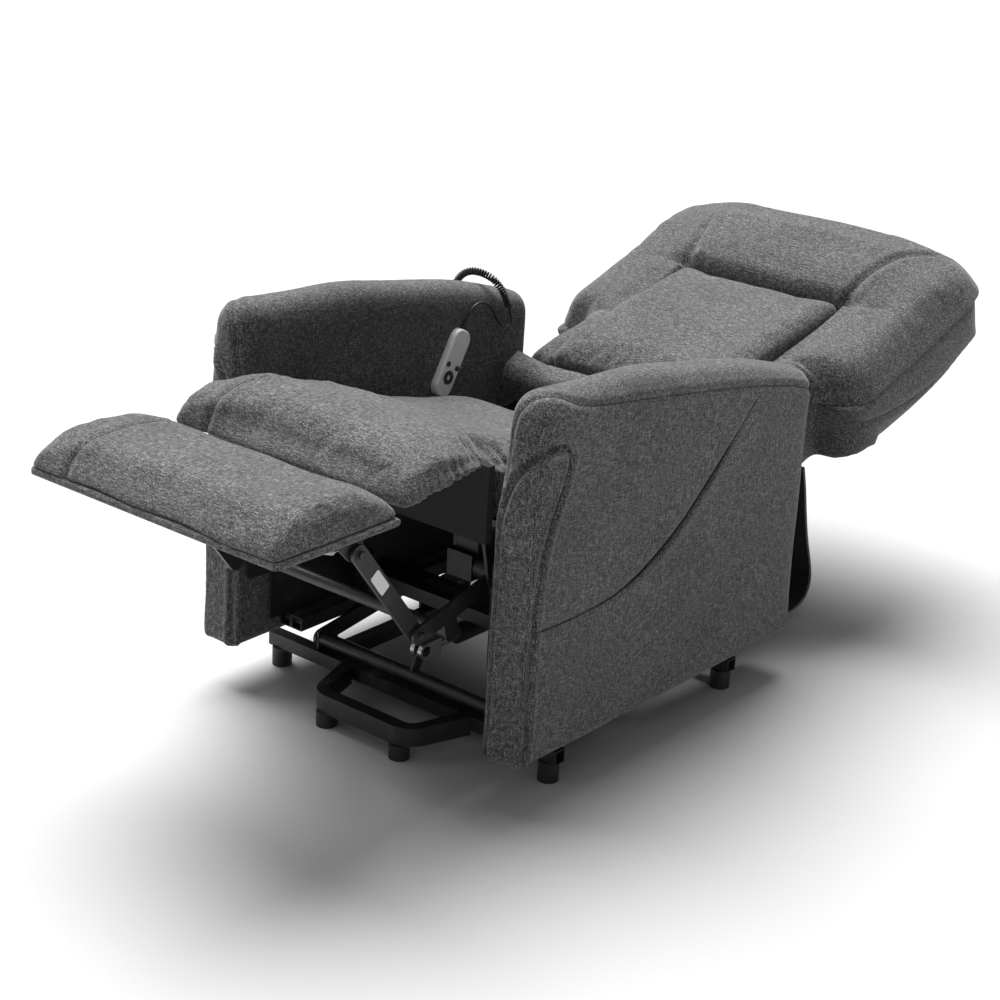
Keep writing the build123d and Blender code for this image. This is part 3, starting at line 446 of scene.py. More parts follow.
def block_mesh(outline, low, high, radius, place, floor=None):
    """A form: an outline carried from low to high; radius, a number or a function, rounds the rims."""
    if callable(radius):
        radii = np.array([radius(a, b) for a, b in outline])
    else:
        radii = np.full(len(outline), radius, float)
    deepest = float(radii.max())
    rings = []
    for k in range(RIM_STEPS + 1):
        edge = deepest * (1 - math.cos(math.pi / 2 * k / RIM_STEPS))
        rings.append((low + edge, radii - np.sqrt(radii**2 - np.maximum(0, radii - edge)**2)))
    rings += [(low + high - x, inset) for x, inset in reversed(rings)]
    verts, faces = [], []
    count = len(outline)
    for x, inset in rings:
        ring = inset_outline(outline, inset)
        if floor is not None:
            ring[:, 1] = np.maximum(ring[:, 1], floor)
        verts += [tuple(place(x, a, b)) for a, b in ring]
    for k in range(len(rings) - 1):
        for i in range(count):
            j = (i + 1) % count
            faces.append((k * count + i, k * count + j, (k + 1) * count + j, (k + 1) * count + i))
    faces.append(tuple(range(count))[::-1])
    faces.append(tuple((len(rings) - 1) * count + i for i in range(count)))
    return verts, faces


def on_back_across(x, s, t):
    return at(x, *on_back(s, t))


def plan_on_back(t, x, s):
    return at(x, *on_back(s, t))


def join(parts):
    verts, faces = [], []
    for v, f in parts:
        offset = len(verts)
        verts += v
        faces += [tuple(i + offset for i in face) for face in f]
    return verts, faces


def mirrored(part):
    verts, faces = part
    return [(-x, y, z) for x, y, z in verts], [face[::-1] for face in faces]


def baked(piece):
    """The piece's mesh with its modifiers applied."""
    bpy.context.view_layer.update()
    graph = bpy.context.evaluated_depsgraph_get()
    mesh = bpy.data.meshes.new_from_object(piece.evaluated_get(graph))
    old = piece.data
    piece.modifiers.clear()
    piece.data = mesh
    bpy.data.meshes.remove(old)
    return piece


def new_piece(name, part):
    mesh = bpy.data.meshes.new(name)
    mesh.from_pydata([tuple(v) for v in part[0]], [], part[1])
    work = bmesh.new()
    work.from_mesh(mesh)
    bmesh.ops.recalc_face_normals(work, faces=work.faces)
    work.to_mesh(mesh)
    work.free()
    piece = bpy.data.objects.new(name, mesh)
    SCENE.collection.objects.link(piece)
    return piece


def from_nodes(name, *nodes):
    """A copy of what CAD nodes hold, as the start of a piece."""
    verts, faces = [], []
    for node in nodes:
        mesh = frame["nodes"][node].data
        offset = len(verts)
        verts += [tuple(v.co) for v in mesh.vertices]
        faces += [tuple(i + offset for i in p.vertices) for p in mesh.polygons]
    piece = new_piece(name, (verts, faces))
    work = bmesh.new()
    work.from_mesh(piece.data)
    bmesh.ops.remove_doubles(work, verts=work.verts, dist=1e-6)
    work.to_mesh(piece.data)
    work.free()
    return piece


def remesh(piece, voxel, smooth, factor=0.5):
    wrap = piece.modifiers.new("wrap", "REMESH")
    wrap.mode = "VOXEL"
    wrap.voxel_size = voxel
    if smooth:
        soften = piece.modifiers.new("soften", "SMOOTH")
        soften.factor = factor
        soften.iterations = smooth
    return baked(piece)


def points_of(piece):
    co = np.empty(len(piece.data.vertices) * 3)
    piece.data.vertices.foreach_get("co", co)
    return co.reshape(-1, 3)


def normals_of(piece):
    out = np.empty(len(piece.data.vertices) * 3)
    piece.data.vertices.foreach_get("normal", out)
    return out.reshape(-1, 3)


def set_points(piece, co):
    piece.data.vertices.foreach_set("co", np.asarray(co, float).ravel())
    piece.data.update()


def shrink(piece, amount):
    set_points(piece, points_of(piece) - normals_of(piece) * amount)


FILLED = []
CLOTH_FRAMES = 20


def fill(piece, cap, weight=None, pressure=4.0):
    """Marks a piece to be blown up as cloth, no point moving further than its cap."""
    FILLED.append((piece, cap, weight, pressure, points_of(piece)))


def run_cloth():
    """All the fillings at once: cloth under pressure for a few frames, capped and kept."""
    if not FILLED:
        return
    for piece, cap, weight, pressure, rest in FILLED:
        cloth = piece.modifiers.new("cloth", "CLOTH")
        cloth.settings.use_pressure = True
        cloth.settings.uniform_pressure_force = pressure
        cloth.settings.effector_weights.gravity = 0
        cloth.settings.quality = 4
        cloth.settings.mass = 0.3
        cloth.settings.tension_stiffness = 12
        cloth.settings.compression_stiffness = 12
        cloth.settings.shear_stiffness = 5
        cloth.settings.bending_stiffness = 0.4
        cloth.collision_settings.use_collision = False
        cloth.point_cache.frame_start = 1
        cloth.point_cache.frame_end = CLOTH_FRAMES
    for number in range(1, CLOTH_FRAMES + 1):
        SCENE.frame_set(number)
    graph = bpy.context.evaluated_depsgraph_get()
    for piece, cap, weight, pressure, rest in FILLED:
        blown = piece.evaluated_get(graph).data
        co = np.empty(len(blown.vertices) * 3)
        blown.vertices.foreach_get("co", co)
        step = co.reshape(-1, 3) - rest
        length = np.maximum(np.linalg.norm(step, axis=1), 1e-9)
        held = cap * np.tanh(length / cap) / length
        if weight is not None:
            held = held * weight(rest)
        piece.modifiers.clear()
        set_points(piece, rest + step * held[:, None])
    SCENE.frame_set(1)


def subdivide(piece, levels=1):
    finer = piece.modifiers.new("finer", "SUBSURF")
    finer.levels = levels
    finer.render_levels = levels
    return baked(piece)


def near_path(co, path):
    """Each point's distance to a path, and how far along the path it is."""
    best = np.full(len(co), 1e9)
    along = np.zeros(len(co))
    run = 0.0
    for a, b in zip(path, path[1:]):
        a, b = np.array(a), np.array(b)
        d = b - a
        size = max(float(np.linalg.norm(d)), 1e-9)
        share = np.clip((co - a) @ d / size**2, 0, 1)
        gap = np.linalg.norm(co - a - share[:, None] * d, axis=1)
        closer = gap < best
        best[closer] = gap[closer]
        along[closer] = (run + share * size)[closer]
        run += size
    return best, along, run


def groove(piece, path, width, depth, pucker=0.0006, lip=0.3, fade=None):
    """A sewn seam: a valley along a path with a soft lip each side and small puckers across it."""
    co, normal = points_of(piece), normals_of(piece)
    gap, along, total = near_path(co, path)
    valley = np.exp(-(gap / width) ** 2)
    rim = lip * np.exp(-((gap - 2.4 * width) / (1.1 * width)) ** 2)
    gather = pucker * np.sin(along * 330 + 2 * np.sin(along * 71)) * np.exp(-(gap / (3.5 * width)) ** 2)
    strength = np.ones(len(co))
    if fade:
        start, end = fade
        strength = np.clip(np.minimum(along / max(start, 1e-6), (total - along) / max(end, 1e-6)), 0, 1)
    set_points(piece, co + normal * (strength * (gather - depth * (valley - rim)))[:, None])


def ripples(piece, seed, scale, amplitude, mask=None, stretch=(1, 1, 1)):
    """Soft uneven hills and hollows in stuffing, or creases where stretched one way."""
    rng = np.random.default_rng(seed)
    co, normal = points_of(piece), normals_of(piece)
    total = np.zeros(len(co))
    for _ in range(7):
        direction = rng.normal(size=3) * np.array(stretch) * scale
        total += np.sin(co @ direction + rng.uniform(0, 6.28)) * rng.uniform(0.5, 1.0)
    total *= amplitude / 2.2
    if mask is not None:
        total = total * mask(co)
    set_points(piece, co + normal * total[:, None])


def onto(piece, path, spacing=0.008, lift=0.0):
    """A path laid onto a piece's surface, in even steps."""
    tree = BVHTree.FromObject(piece, bpy.context.evaluated_depsgraph_get())
    made = []
    for a, b in zip(path, path[1:]):
        steps = max(1, int((b - a).length / spacing))
        for k in range(steps):
            hit, normal, _, _ = tree.find_nearest(a.lerp(b, k / steps))
            made.append(hit + normal * lift)
    hit, normal, _, _ = tree.find_nearest(path[-1])
    made.append(hit + normal * lift)
    return made


def tube_mesh(line, radius, sides=6, beads=0.0):
    """A round tube along a line, pinched at even steps where beads is above 0."""
    verts, faces = [], []
    side = Vector((0.31, 0.2, 0.93))
    run = 0.0
    for index, point in enumerate(line):
        ahead = (line[min(index + 1, len(line) - 1)] - line[max(index - 1, 0)]).normalized()
        if index:
            run += (point - line[index - 1]).length
        side = (side - side.dot(ahead) * ahead).normalized()
        other = ahead.cross(side)
        thick = radius * (1 - beads * (0.5 + 0.5 * math.cos(2 * math.pi * run / STITCH)))
        for k in range(sides):
            a = 2 * math.pi * k / sides
            verts.append(tuple(point + thick * (math.cos(a) * side + math.sin(a) * other)))
    for index in range(len(line) - 1):
        for k in range(sides):
            a, b = index * sides + k, index * sides + (k + 1) % sides
            faces.append((a, b, b + sides, a + sides))
    faces.append(tuple(range(sides))[::-1])
    faces.append(tuple((len(line) - 1) * sides + k for k in range(sides)))
    return verts, faces


def sew(piece, name, lines, body, blend=None, radius=0.0008):
    """The sewn lines of a piece: dark thread lying in its seams."""
    tubes = [tube_mesh(onto(piece, line, STITCH / 4, 0.00005), radius, 6, 0.45) for line in lines]
    return settle(new_piece(name, join(tubes)), body, THREAD, (), blend)


def smooth_line(points, resolution=12):
    """Points along one smooth curve guided by a few."""
    guide = nurbs("guide", points, resolution=resolution)
    line = line_of(guide)
    bpy.data.objects.remove(guide)
    return line


def settle(piece, body, material, replaced=(), blend=None):
    """The piece's last steps: smooth shading, its own place kept for the weave, and its body."""
    for polygon in piece.data.polygons:
        polygon.use_smooth = True
    keep = piece.data.attributes.new("rest_place", "FLOAT_VECTOR", "POINT")
    keep.data.foreach_set("vector", points_of(piece).astype(np.float32).ravel())
    dress(piece, material)
    if replaced:
        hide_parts(*replaced)
    if blend:
        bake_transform(piece)
    else:
        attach(piece, body)
    return piece


def band(values, low, high, soft):
    """1 inside low to high, falling to 0 over soft on both sides."""
    return np.clip((values - low) / soft, 0, 1) * np.clip((high - values) / soft, 0, 1)


def local(co):
    """Rest points as (x, y, z) columns in millimetres from the arm fronts."""
    out = co / MM
    out[:, 1] -= ARM_FRONT
    return out


def local_back(co):
    """Rest points as (x, s, t) columns in millimetres on the back."""
    out = local(co)
    dy, dz = out[:, 1] - BACK_HINGE[0], out[:, 2] - BACK_HINGE[1]
    c, n = math.cos(BACK_ANGLE), math.sin(BACK_ANGLE)
    return np.stack([out[:, 0], dy * c + dz * n, dz * c - dy * n], 1)


# ---- soft goods: the pieces ----------------------------------------------------------------
ARM_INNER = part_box("arm_cover_right")[0].x / MM
ARM_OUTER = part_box("arm_cover_right")[1].x / MM
ARM_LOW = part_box("arm_cover_right")[0].z / MM
ARM_OUTLINE = fillet_outline(
    [(-12, ARM_LOW), (-12, 480), (-4, 610), (1, 706), (290, 691), (600, 640), (778, 588), (778, ARM_LOW)],
    [0, 300, 500, 48, 850, 850, 44, 0])
TONGUE_INNER = [(289, -12, 84), (289, -12, 250), (289, -12, 440), (291, -11, 490), (299, -10, 530),
                (313, -9, 564), (331, -7, 590), (348, -3, 607), (360, 6, 616), (366, 20, 621)]
TONGUE_OUTER = [(366, 20, 621), (366, 42, 622), (366, 58, 616), (366, 67, 602), (366, 67, 584),
                (366, 57, 556), (366, 42, 526), (366, 28, 490), (366, 16, 450), (366, 8, 390),
                (366, 3, 320), (366, 2, 220), (366, 2, 84)]
POCKET_LINE = [(583, 578), (520, 520), (448, 452), (369, 390), (262, 336), (150, 318), (20, 322)]
# share of the pocket line, from its rear end, at which the mouth is widest
POCKET_MIDDLE = 0.42
CROWN_SEAM = [(284, -10, 560), (286, -8, 600), (295, -2, 645), (312, 8, 682), (330, 26, 700),
              (346, 52, 696), (358, 84, 676), (364, 140, 664), (365, 262, 648), (365, 390, 630),
              (365, 545, 606), (365, 660, 584),
              (365, 735, 566), (362, 775, 548)]


def arm_rounding(y, z):
    """The arm's rims are full along the crown and tighter down the front and rear edges."""
    return float(np.interp(z, [0, 500, 640], [13, 15, 37]))


def arm(side):
    name = "right" if side > 0 else "left"
    part = block_mesh(ARM_OUTLINE, ARM_INNER + 2, ARM_OUTER - 2.5, arm_rounding, at, ARM_LOW)
    if side < 0:
        part = mirrored(part)
    piece = remesh(new_piece(f"arm_{name}_cover", part), 0.0075, 3)

    def sides(co):
        return 0.25 + 0.75 * band(local(co)[:, 2], ARM_LOW + 20, 900, 60)
    fill(piece, 0.004, sides)
    return piece


def flip(points, side):
    return [at(side * x, y, z) for x, y, z in points]


def finish_arm(piece, side):
    subdivide(piece)
    name = "right" if side > 0 else "left"
    tongue = [smooth_line(flip(line, side)) for line in (TONGUE_INNER, TONGUE_OUTER)]
    for line in tongue:
        groove(piece, onto(piece, line), 0.0045, 0.0055, 0.0002, 0.5)
    crown = smooth_line(flip(CROWN_SEAM, side))
    groove(piece, onto(piece, crown), 0.005, 0.0022, 0.0002, 0.4)
    if side > 0:
        line = onto(piece, smooth_line([at(ARM_OUTER, y, z) for y, z in POCKET_LINE]))
        co = points_of(piece)
        gap, along, total = near_path(co, line)
        spots = local(co)
        edge = np.array([[p.y / MM - ARM_FRONT, p.z / MM] for p in line])[::-1]
        height = np.interp(spots[:, 1], edge[:, 0], edge[:, 1])
        outside = spots[:, 0] > ARM_OUTER - 14
        under = np.clip((height - spots[:, 2]) / 3.0, 0, 1) * outside
        opening = np.exp(-((along / total - POCKET_MIDDLE) / 0.24) ** 2)
        depth = (0.0012 + 0.0075 * opening) * np.exp(-(gap / 0.0048) ** 2) * (1 - 0.75 * under)
        lip = 0.0030 * opening * under * np.exp(-(gap / 0.016) ** 2)
        co[:, 0] += lip - depth * outside
        set_points(piece, co)
        # a black strip of painted shade is laid in the pocket slit, where the mouth is in shadow
        pocket_mouth(line)
    ripples(piece, 5 + side, 14, 0.0007)
    replaced = [f"arm_cover_{name}", "arm_facings"] + (["side_pocket"] if side > 0 else [])
    settle(piece, "chassis", CHARCOAL, replaced)
    lines = tongue + [crown]
    if side > 0:
        lines.append(smooth_line([at(ARM_OUTER, y, z) for y, z in POCKET_LINE] + [at(ARM_OUTER, -6, 326)]))
    sew(piece, f"arm_{name}_seams", lines, "chassis")


def pocket_mouth(line):
    """A thin black strip of painted shade in the opening of the side pocket, standing in for the shadow in
    the slit; widest in the middle of its slope.
    """
    verts, faces = [], []
    for k, point in enumerate(line):
        share = k / (len(line) - 1)
        wide = 0.3 + 2.6 * math.exp(-((share - POCKET_MIDDLE) / 0.17) ** 2)
        ahead = (line[min(k + 1, len(line) - 1)] - line[max(k - 1, 0)]).normalized()
        up = Vector((0, -ahead.z, ahead.y)) * (-1 if ahead.y > 0 else 1)
        for lift in (-1, 1):
            spot = point + up * lift * wide * MM
            verts.append((spot.x - (0.0022 if wide > 1 else 0.0006), spot.y, spot.z))
    for k in range(len(line) - 1):
        faces.append((2 * k, 2 * k + 1, 2 * k + 3, 2 * k + 2))
    piece = new_piece("pocket_mouth_painted_shade", (verts, faces))
    thick = piece.modifiers.new("thick", "SOLIDIFY")
    thick.thickness = 0.001
    thick.offset = 0
    baked(piece)
    # black lining cloth stands in as painted shade inside the pocket slit
    settle(piece, "chassis", LINING)


def chaise():
    seat = fillet_outline(
        [(24, 580), (110, 552), (192, 520), (274, 487), (370, 466), (456, 450), (535, 428), (552, 412),
         (552, 312), (170, 446), (24, 474)], [20, 60, 90, 120, 150, 120, 20, 12, 12, 20, 12], 5)
    calf = fillet_outline(
        [(-178, 543), (-180, 562), (-158, 584), (-112, 601), (-60, 602), (-10, 594), (2, 580), (2, 566),
         (-94, 556)],
        [7, 14, 30, 60, 90, 5, 2, 2, 90], 4)
    bridge = [(-40, 598), (34, 576), (34, 570), (-40, 572)]
    part = join([
        block_mesh(seat, -252, 252, 14, at), block_mesh(calf, -256, 256, 12, at),
        block_mesh(bridge, -250, 250, 1, at)])
    piece = remesh(new_piece("chaise_cushion", part), 0.006, 6)

    def held(co):
        spots = local(co)
        top = np.interp(spots[:, 1], [-186, -150, -20, 20, 192, 370, 560],
                        [552, 566, 574, 560, 492, 430, 380])
        return 0.08 + 0.92 * np.clip((spots[:, 2] - top) / 14, 0, 1)
    fill(piece, 0.022, held, 5.0)
    return piece


CHAISE_BLEND = ("seat", "calf_rest", at(0, 34, 590), at(0, -44, 590))


def finish_chaise(piece):
    subdivide(piece)
    seam = smooth_line([at(-182, y, z) for y, z in (
        (-176, 552), (-164, 588), (-125, 610), (-90, 614), (-40, 611), (20, 596), (110, 562))])
    groove(piece, onto(piece, seam), 0.006, 0.0028, 0.0003, 0.3)
    fold = [at(x, 118, 560) for x in range(-250, 251, 50)]
    groove(piece, onto(piece, fold), 0.012, 0.006, 0.0006, 0.25)

    def gathered(co):
        spots = local(co)
        low = np.interp(spots[:, 1], [-180, -94, 0, 120], [540, 556, 562, 545])
        rise = np.clip(1 - (spots[:, 2] - low) / 46, 0, 1)
        return rise * band(np.abs(spots[:, 0]), 190, 400, 40) * band(spots[:, 1], -176, 110, 25)
    co, normal = points_of(piece), normals_of(piece)
    spots = local(co)
    phase = spots[:, 1] * 0.36 + 2.6 * np.sin(spots[:, 1] * 0.043) + 0.03 * spots[:, 2]
    depth = 0.0022 * (1 + 0.5 * np.sin(spots[:, 1] * 0.087 + 1.0))
    set_points(piece, co + normal * (depth * np.sin(phase) * gathered(co))[:, None])

    def bunched(co):
        spots = local(co)
        return band(np.abs(spots[:, 0]), 175, 400, 50) * band(spots[:, 1], -150, 140, 40)
    ripples(piece, 21, 50, 0.0022, bunched, (0.5, 1.0, 0.35))
    ripples(piece, 22, 16, 0.0022)
    settle(piece, None, CHARCOAL, ("seat_cushion", "calf_pad", "calf_board"),
           CHAISE_BLEND)
    sew(piece, "chaise_seams", [seam], None, CHAISE_BLEND)


def round_corners(piece):
    """Rounds the footrest's two front corners in plan."""
    spots = local(points_of(piece))
    past = np.clip((-432 - spots[:, 1]) / 34, 0, 1)
    limit = 267 - 22 * (1 - np.sqrt(1 - past**2))
    spots[:, 0] = np.clip(spots[:, 0], -limit, limit)
    set_points(piece, np.array([at(*spot) for spot in spots]))


def footrest():
    outline = fillet_outline(
        [(-461, 541), (-462, 562), (-408, 585), (-335, 589), (-262, 582), (-202, 562), (-200, 541)],
        [8, 16, 60, 80, 60, 14, 8], 5)
    piece = remesh(new_piece("footrest_cushion", block_mesh(outline, -267, 267, 14, at)), 0.0055, 4)
    round_corners(piece)

    def held(co):
        return 0.15 + 0.85 * np.clip((local(co)[:, 2] - 546) / 14, 0, 1)
    fill(piece, 0.012, held, 5.0)
    return piece


def finish_footrest(piece):
    subdivide(piece)
    seam = smooth_line([at(-182, y, z) for y, z in (
        (-461, 548), (-456, 576), (-400, 598), (-330, 603), (-262, 596), (-205, 570), (-201, 546))])
    groove(piece, onto(piece, seam), 0.006, 0.0026, 0.0003, 0.3)
    ripples(piece, 31, 20, 0.0018)
    settle(piece, "footrest", CHARCOAL, ("footrest_pad",))
    sew(piece, "footrest_seams", [seam], "footrest")
    edge = fillet_outline([(-461, 529), (-461, 543), (-200, 543), (-200, 529)], 6, 4)
    under = subdivide(remesh(new_piece("footrest_board_cover", block_mesh(edge, -267, 267, 6, at)), 0.005, 1))
    round_corners(under)
    settle(under, "footrest", CHARCOAL, ("footrest_board",))


def lumbar():
    piece = remesh(from_nodes("lumbar_roll", "back_lumbar_roll"), 0.0055, 8)
    shrink(piece, 0.004)
    fill(piece, 0.014, None, 5.0)
    return piece


def centre():
    s_points = [73, 150, 240, 330, 430, 519]
    top = [102, 117, 108, 98, 82, 68]
    outline = [(s, t) for s, t in zip(s_points, top)] + [(519, 16), (73, 16)]
    outline = fillet_outline(outline, [16, 80, 200, 200, 150, 12, 4, 4], 6)
    piece = remesh(new_piece("centre_cushion", block_mesh(outline, -191, 191, 18, on_back_across)), 0.006, 5)
    fill(piece, 0.009, lambda co: 0.1 + 0.9 * np.clip((local_back(co)[:, 2] - 22) / 20, 0, 1), 5.0)
    return piece


BORDER = [(181, 73), (254, 73), (256, 270), (286, 290), (345, 302), (361, 345), (362, 700), (350, 762),
          (300, 806), (180, 814)]

BORDER_BLOCK = 70.0


def border():
    """The wings and the head roll in one, round the centre cushion."""
    plan = fillet_outline(
        BORDER + [(-x, s) for x, s in reversed(BORDER)] + [(-181, 516), (181, 516)],
        [10, 14, 10, 24, 40, 60, 60, 50, 60, 200, 200, 60, 50, 60, 60, 40, 24, 10, 14, 10, 8, 8], 5)
    block = block_mesh(plan, 0, BORDER_BLOCK, 6, plan_on_back)
    piece = remesh(new_piece("wing_and_head_cushion", block), 0.0065, 2)
    spots = local_back(points_of(piece))
    x, s, t = np.abs(spots[:, 0]), spots[:, 1], spots[:, 2]
    rim = [at(px, *on_back(ps, 0)) for px, ps in plan + plan[:1]]
    flat = np.array([at(a, *on_back(b, 0)) for a, b in zip(spots[:, 0], s)])
    gap = near_path(flat, rim)[0] / MM
    wing = np.interp(s, [73, 150, 288, 420, 560, 640, 730, 812], [88, 90, 72, 66, 66, 72, 64, 40])
    head = np.interp(s, [516, 540, 600, 690, 760, 812], [60, 72, 88, 98, 82, 44])
    mix = np.clip((330 - x) / 170, 0, 1)
    mix = mix * mix * (3 - 2 * mix)
    high = np.where(s > 514, wing + (head - wing) * mix, wing)
    outer = np.where(s > 290, 58, 30)
    outer = np.where((x < 186) & (s < 560), 26, outer)
    outer = np.where((x < 200) & (s < 514), 12, outer)
    rise = np.sqrt(np.clip(1 - (1 - np.clip(gap / outer, 0, 1)) ** 2, 0, 1))
    low_edge = np.where((s < 514) & (x < 215), 0.64, np.where(s > 290, 0.14, 0.4))
    height = high * (low_edge + (1 - low_edge) * rise)
    spots[:, 2] = t / BORDER_BLOCK * height
    back = np.array([at(a, *on_back(b, c)) for a, b, c in spots])
    set_points(piece, back)
    smooth = piece.modifiers.new("soften", "SMOOTH")
    smooth.factor = 0.5
    smooth.iterations = 5
    baked(piece)
    fill(piece, 0.010, lambda co: 0.1 + 0.9 * np.clip((local_back(co)[:, 2] - 6) / 20, 0, 1), 5.0)
    return piece


def finish_back(roll, middle, wings):
    for piece in (roll, middle, wings):
        subdivide(piece)
    seams = []
    path = [(182, 514, 62), (188, 548, 84), (200, 610, 98), (222, 680, 100), (262, 740, 92), (300, 770, 78)]
    for side, shown in ((-1, path[:4]), (1, path)):
        line = smooth_line([at(side * x, *on_back(s, t)) for x, s, t in shown])
        groove(wings, onto(wings, line), 0.0075, 0.0050, 0.0003, 0.3, (0.02, 0.05))
        seams.append(line)
    ripples(roll, 41, 22, 0.0016)
    ripples(middle, 42, 14, 0.002)
    ripples(wings, 43, 14, 0.0024)
    settle(roll, "back", CHARCOAL, ("back_lumbar_roll",))
    settle(middle, "back", CHARCOAL, ("back_centre_cushion",))
    settle(wings, "back", CHARCOAL, ("back_side_cushions", "head_cushion"))
    sew(wings, "wing_seams", seams, "back")


def shell_rounding(s, t):
    """The outside rims are full towards the rear and tight under the wings."""
    return float(np.interp(t, [-150, -70, 0], [88, 52, 14]))


def shell():
    """The outside of the back: side walls, rear panel and the roll over the head end."""
    lower = fillet_outline([(48, -126), (300, -126), (300, 8), (48, 8)], 6, 3)
    upper = fillet_outline(
        [(288, -124), (400, -142), (520, -149), (640, -146), (750, -126), (830, -92), (843, -48), (822, 4),
         (288, 4)],
        [10, 200, 300, 300, 150, 40, 40, 30, 6], 5)
    blocks = [block_mesh(lower, -256, 256, 8, on_back_across),
              block_mesh(upper, -357, 357, shell_rounding, on_back_across)]
    piece = remesh(new_piece("back_outer_cover", join(blocks)), 0.008, 6)
    spots = local_back(points_of(piece))
    past = np.clip((spots[:, 1] - 690) / 156, 0, 1)
    limit = 358 - 200 * (1 - np.sqrt(np.clip(1 - past**2, 0, 1)))
    spots[:, 0] = np.clip(spots[:, 0], -limit, limit)
    set_points(piece, np.array([at(a, *on_back(b, c)) for a, b, c in spots]))
    return piece


def finish_shell(piece):
    subdivide(piece)
    seams = []
    for side in (-1, 1):
        line = smooth_line([at(side * 357, *on_back(s, t)) for s, t in (
            (256, -11), (340, -45), (426, -70), (535, -93), (650, -112), (768, -106))])
        groove(piece, onto(piece, line), 0.006, 0.0035, 0.0003)
        seams.append(line)
    ripples(piece, 51, 12, 0.0016)
    settle(piece, "back", CHARCOAL, ("back_shell", "head_end_pad"))
    sew(piece, "back_cover_seams", seams, "back")


def inner_panels():
    outline = fillet_outline([(6, 210), (6, 424), (186, 396), (186, 210)], 18, 5)
    right = block_mesh(outline, 270, 278, 3, at)
    piece = remesh(new_piece("inner_side_pads", join([right, mirrored(right)])), 0.004, 2)
    subdivide(piece)
    ripples(piece, 61, 30, 0.0006)
    settle(piece, "chassis", LINING, ("inner_side_panels",))


SKIRT = [(965, 322), (978, 280), (990, 225), (1006, 165), (1030, 105), (1037, 68), (1024, 36), (985, 22),
         (925, 25), (860, 50), (800, 88), (772, 130)]
SKIRT_HALF = 248.0
SKIRT_BLEND = ("seat", "back", at(0, 847, 164), at(0, 965, 322))


def skirt():
    """The black cloth that hangs in a loop behind the seat, from the back to the chassis."""
    line = smooth_line([at(0, y, z + 2) for y, z in SKIRT], 8)
    count = 56
    verts, faces = [], []
    for row, point in enumerate(line):
        for column in range(count + 1):
            x = -SKIRT_HALF + 2 * SKIRT_HALF * column / count
            sag = 1.6 * math.sin(x * 0.031 + row * 0.21) + 1.1 * math.sin(x * 0.083 - row * 0.13)
            edge = min(1.0, (SKIRT_HALF - abs(x)) / 30)
            verts.append((x * MM, point.y + sag * 0.6 * MM * edge, point.z + (sag + 1.2) * 0.5 * MM))
    for row in range(len(line) - 1):
        for column in range(count):
            a = row * (count + 1) + column
            faces.append((a, a + 1, a + count + 2, a + count + 1))
    piece = new_piece("rear_skirt_cloth", (verts, faces))
    thick = piece.modifiers.new("thick", "SOLIDIFY")
    thick.thickness = 0.0016
    thick.offset = 0
    baked(piece)
    settle(piece, None, LINING, ("rear_skirt",),
           SKIRT_BLEND)
    for side in (-1, 1):
        path = [Vector((side * (SKIRT_HALF - 1) * MM, p.y, p.z)) for p in line]
        cord = nurbs(f"rear_skirt_hem_{'right' if side > 0 else 'left'}", path, 0.0022, 3)
        bpy.context.view_layer.update()
        mesh = bpy.data.meshes.new_from_object(cord.evaluated_get(bpy.context.evaluated_depsgraph_get()))
        name = cord.name
        bpy.data.objects.remove(cord)
        hem = bpy.data.objects.new(name, mesh)
        SCENE.collection.objects.link(hem)
        settle(hem, None, PIPING, (),
               SKIRT_BLEND)


# ---- hardware: bolt heads, return springs and a plain label --------------------------------
SIDES = (-1, 1)
# the near front link's middle line, and how far down it the label lies
LINK_TOP = Vector((0, -221.0, 471.0))
LINK_LOW = Vector((0, -86.0, 298.0))
LABEL_AT = 0.34
LABEL_FACES = (203.05, 203.35)
LABEL_HALF_LENGTH = 22
LABEL_HALF_WIDTH = 10.5
LABEL_POINTS = 32
SPRING_INSET = 19.5
SPRING_LINE = [(-336, 507), (-310, 498), (-284, 489), (-256, 479)]
SPRING_HOOKS = [(-345, 513), (-247, 483)]
# each bolt head as (x, y, z, radius), on both sides of the body
BOLTS = {
    "footrest_rear_links": [(211.2, -86, 298, 7)],
    "footrest": [(203.2, -221, 471, 7)],
    "seat": [(254.4, 672, 375, 7), (254.4, 640, 300, 6), (254.4, 618, 262, 6)],
    "chassis": [(277.2, 112, 114.8, 7)],
}
# rings of a bolt head from washer to crown as (scale, distance out, hexagonal), in radii
BOLT_RINGS = [(1.45, 0.0, False), (1.45, 0.14, False), (1.0, 0.16, False), (1.0, 0.16, True),
              (1.0, 0.72, True), (0.82, 0.86, True), (0.3, 0.92, True)]
BOLT_POINTS = 24


def closed(verts, rings, count):
    """A mesh of rings of count points, closed at both ends."""
    faces = []
    for ring in range(rings - 1):
        for k in range(count):
            a, b = ring * count + k, ring * count + (k + 1) % count
            faces.append((a, b, b + count, a + count))
    faces.append(tuple(range(count)))
    faces.append(tuple((rings - 1) * count + k for k in range(count)))
    return verts, faces


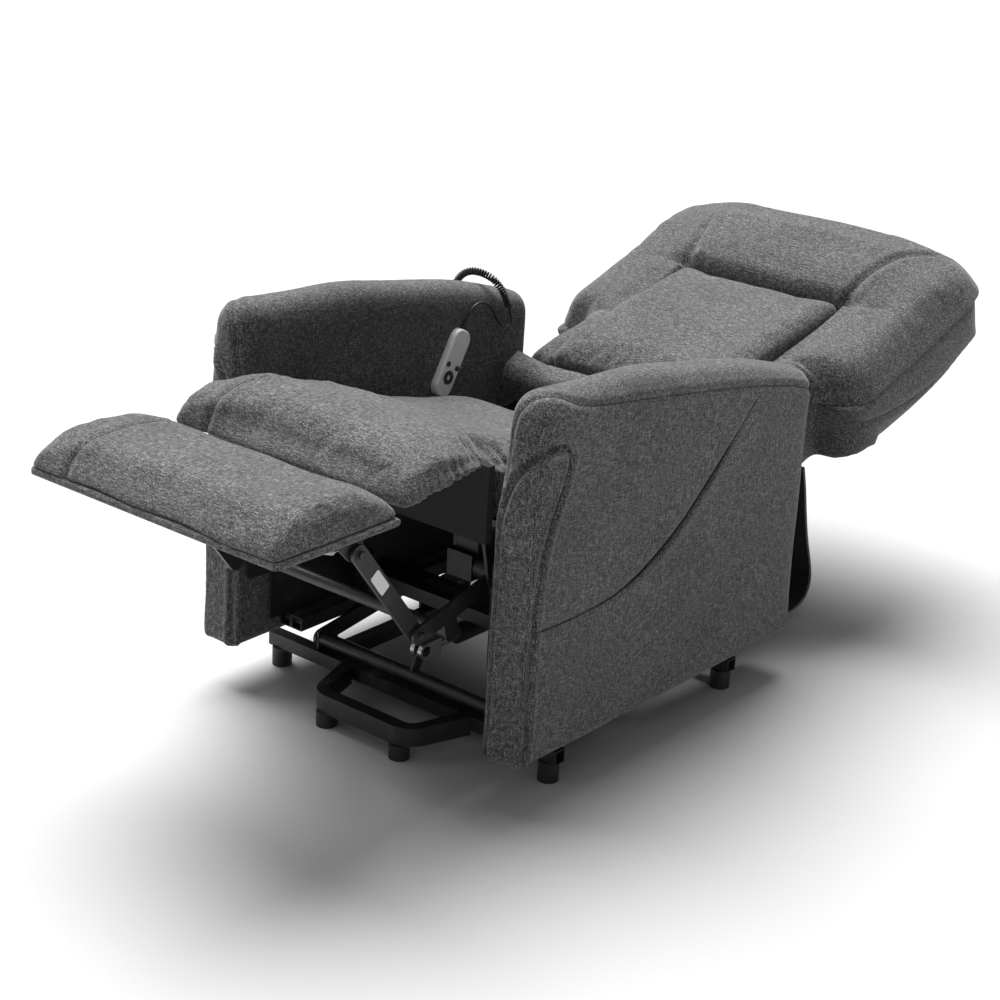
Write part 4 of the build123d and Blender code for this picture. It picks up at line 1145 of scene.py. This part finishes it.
def bolt(x, y, z, radius, side):
    """A domed hexagon head with a washer, facing away from the middle of the chair."""
    verts = []
    for scale, out, hexagonal in BOLT_RINGS:
        for k in range(BOLT_POINTS):
            a = 2 * math.pi * k / BOLT_POINTS
            reach = scale
            if hexagonal:
                reach = scale * math.cos(math.pi / 6) / math.cos((a % (math.pi / 3)) - math.pi / 6)
            verts.append(tuple(at(side * (x + out * radius), y + radius * reach * math.cos(a),
                                  z + radius * reach * math.sin(a))))
    return closed(verts, len(BOLT_RINGS), BOLT_POINTS)


def make_bolts():
    for body, places in BOLTS.items():
        heads = [bolt(*place, side) for place in places for side in SIDES]
        piece = new_piece(f"bolts_{body}", join(heads))
        dress(piece, LINK_STEEL)
        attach(piece, body)


def make_springs():
    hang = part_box("footrest_brackets")[1].x / MM - SPRING_INSET
    for side in SIDES:
        name = "right" if side > 0 else "left"
        guide = smooth_line([at(side * hang, y, z) for y, z in SPRING_LINE], 8)
        coil = helix(guide, 4.4 * MM, 3.2 * MM, 12)
        first, last = [at(side * (hang + 7), y, z) for y, z in SPRING_HOOKS]
        spring = new_piece(f"return_spring_{name}", tube_mesh([first] + coil + [last], 0.0008, 6))
        for polygon in spring.data.polygons:
            polygon.use_smooth = True
        dress(spring, BRIGHT_STEEL)
        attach(spring, "footrest")


def make_label():
    middle = LINK_TOP.lerp(LINK_LOW, LABEL_AT)
    run = (LINK_LOW - LINK_TOP).normalized()
    wide = Vector((0, -run.z, run.y))
    verts = []
    for out in LABEL_FACES:
        for k in range(LABEL_POINTS):
            a = 2 * math.pi * (k + 0.5) / LABEL_POINTS
            u = max(-1, min(1, 1.35 * math.cos(a))) * LABEL_HALF_LENGTH
            v = max(-1, min(1, 1.35 * math.sin(a))) * LABEL_HALF_WIDTH
            verts.append(tuple(at(out, middle.y, middle.z) + (run * u + wide * v) * MM))
    label = new_piece("plain_label", closed(verts, 2, LABEL_POINTS))
    dress(label, WHITE_PLASTIC)
    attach(label, "footrest_front_links")


def make_hardware():
    make_bolts()
    make_springs()
    make_label()


def make_soft_goods():
    arms = {side: arm(side) for side in SIDES}
    seat = chaise()
    rest = footrest()
    roll, middle, wings = lumbar(), centre(), border()
    outer = shell()
    run_cloth()
    for side, piece in arms.items():
        finish_arm(piece, side)
    finish_chaise(seat)
    finish_footrest(rest)
    finish_back(roll, middle, wings)
    finish_shell(outer)
    inner_panels()
    skirt()


make_soft_goods()
make_hardware()
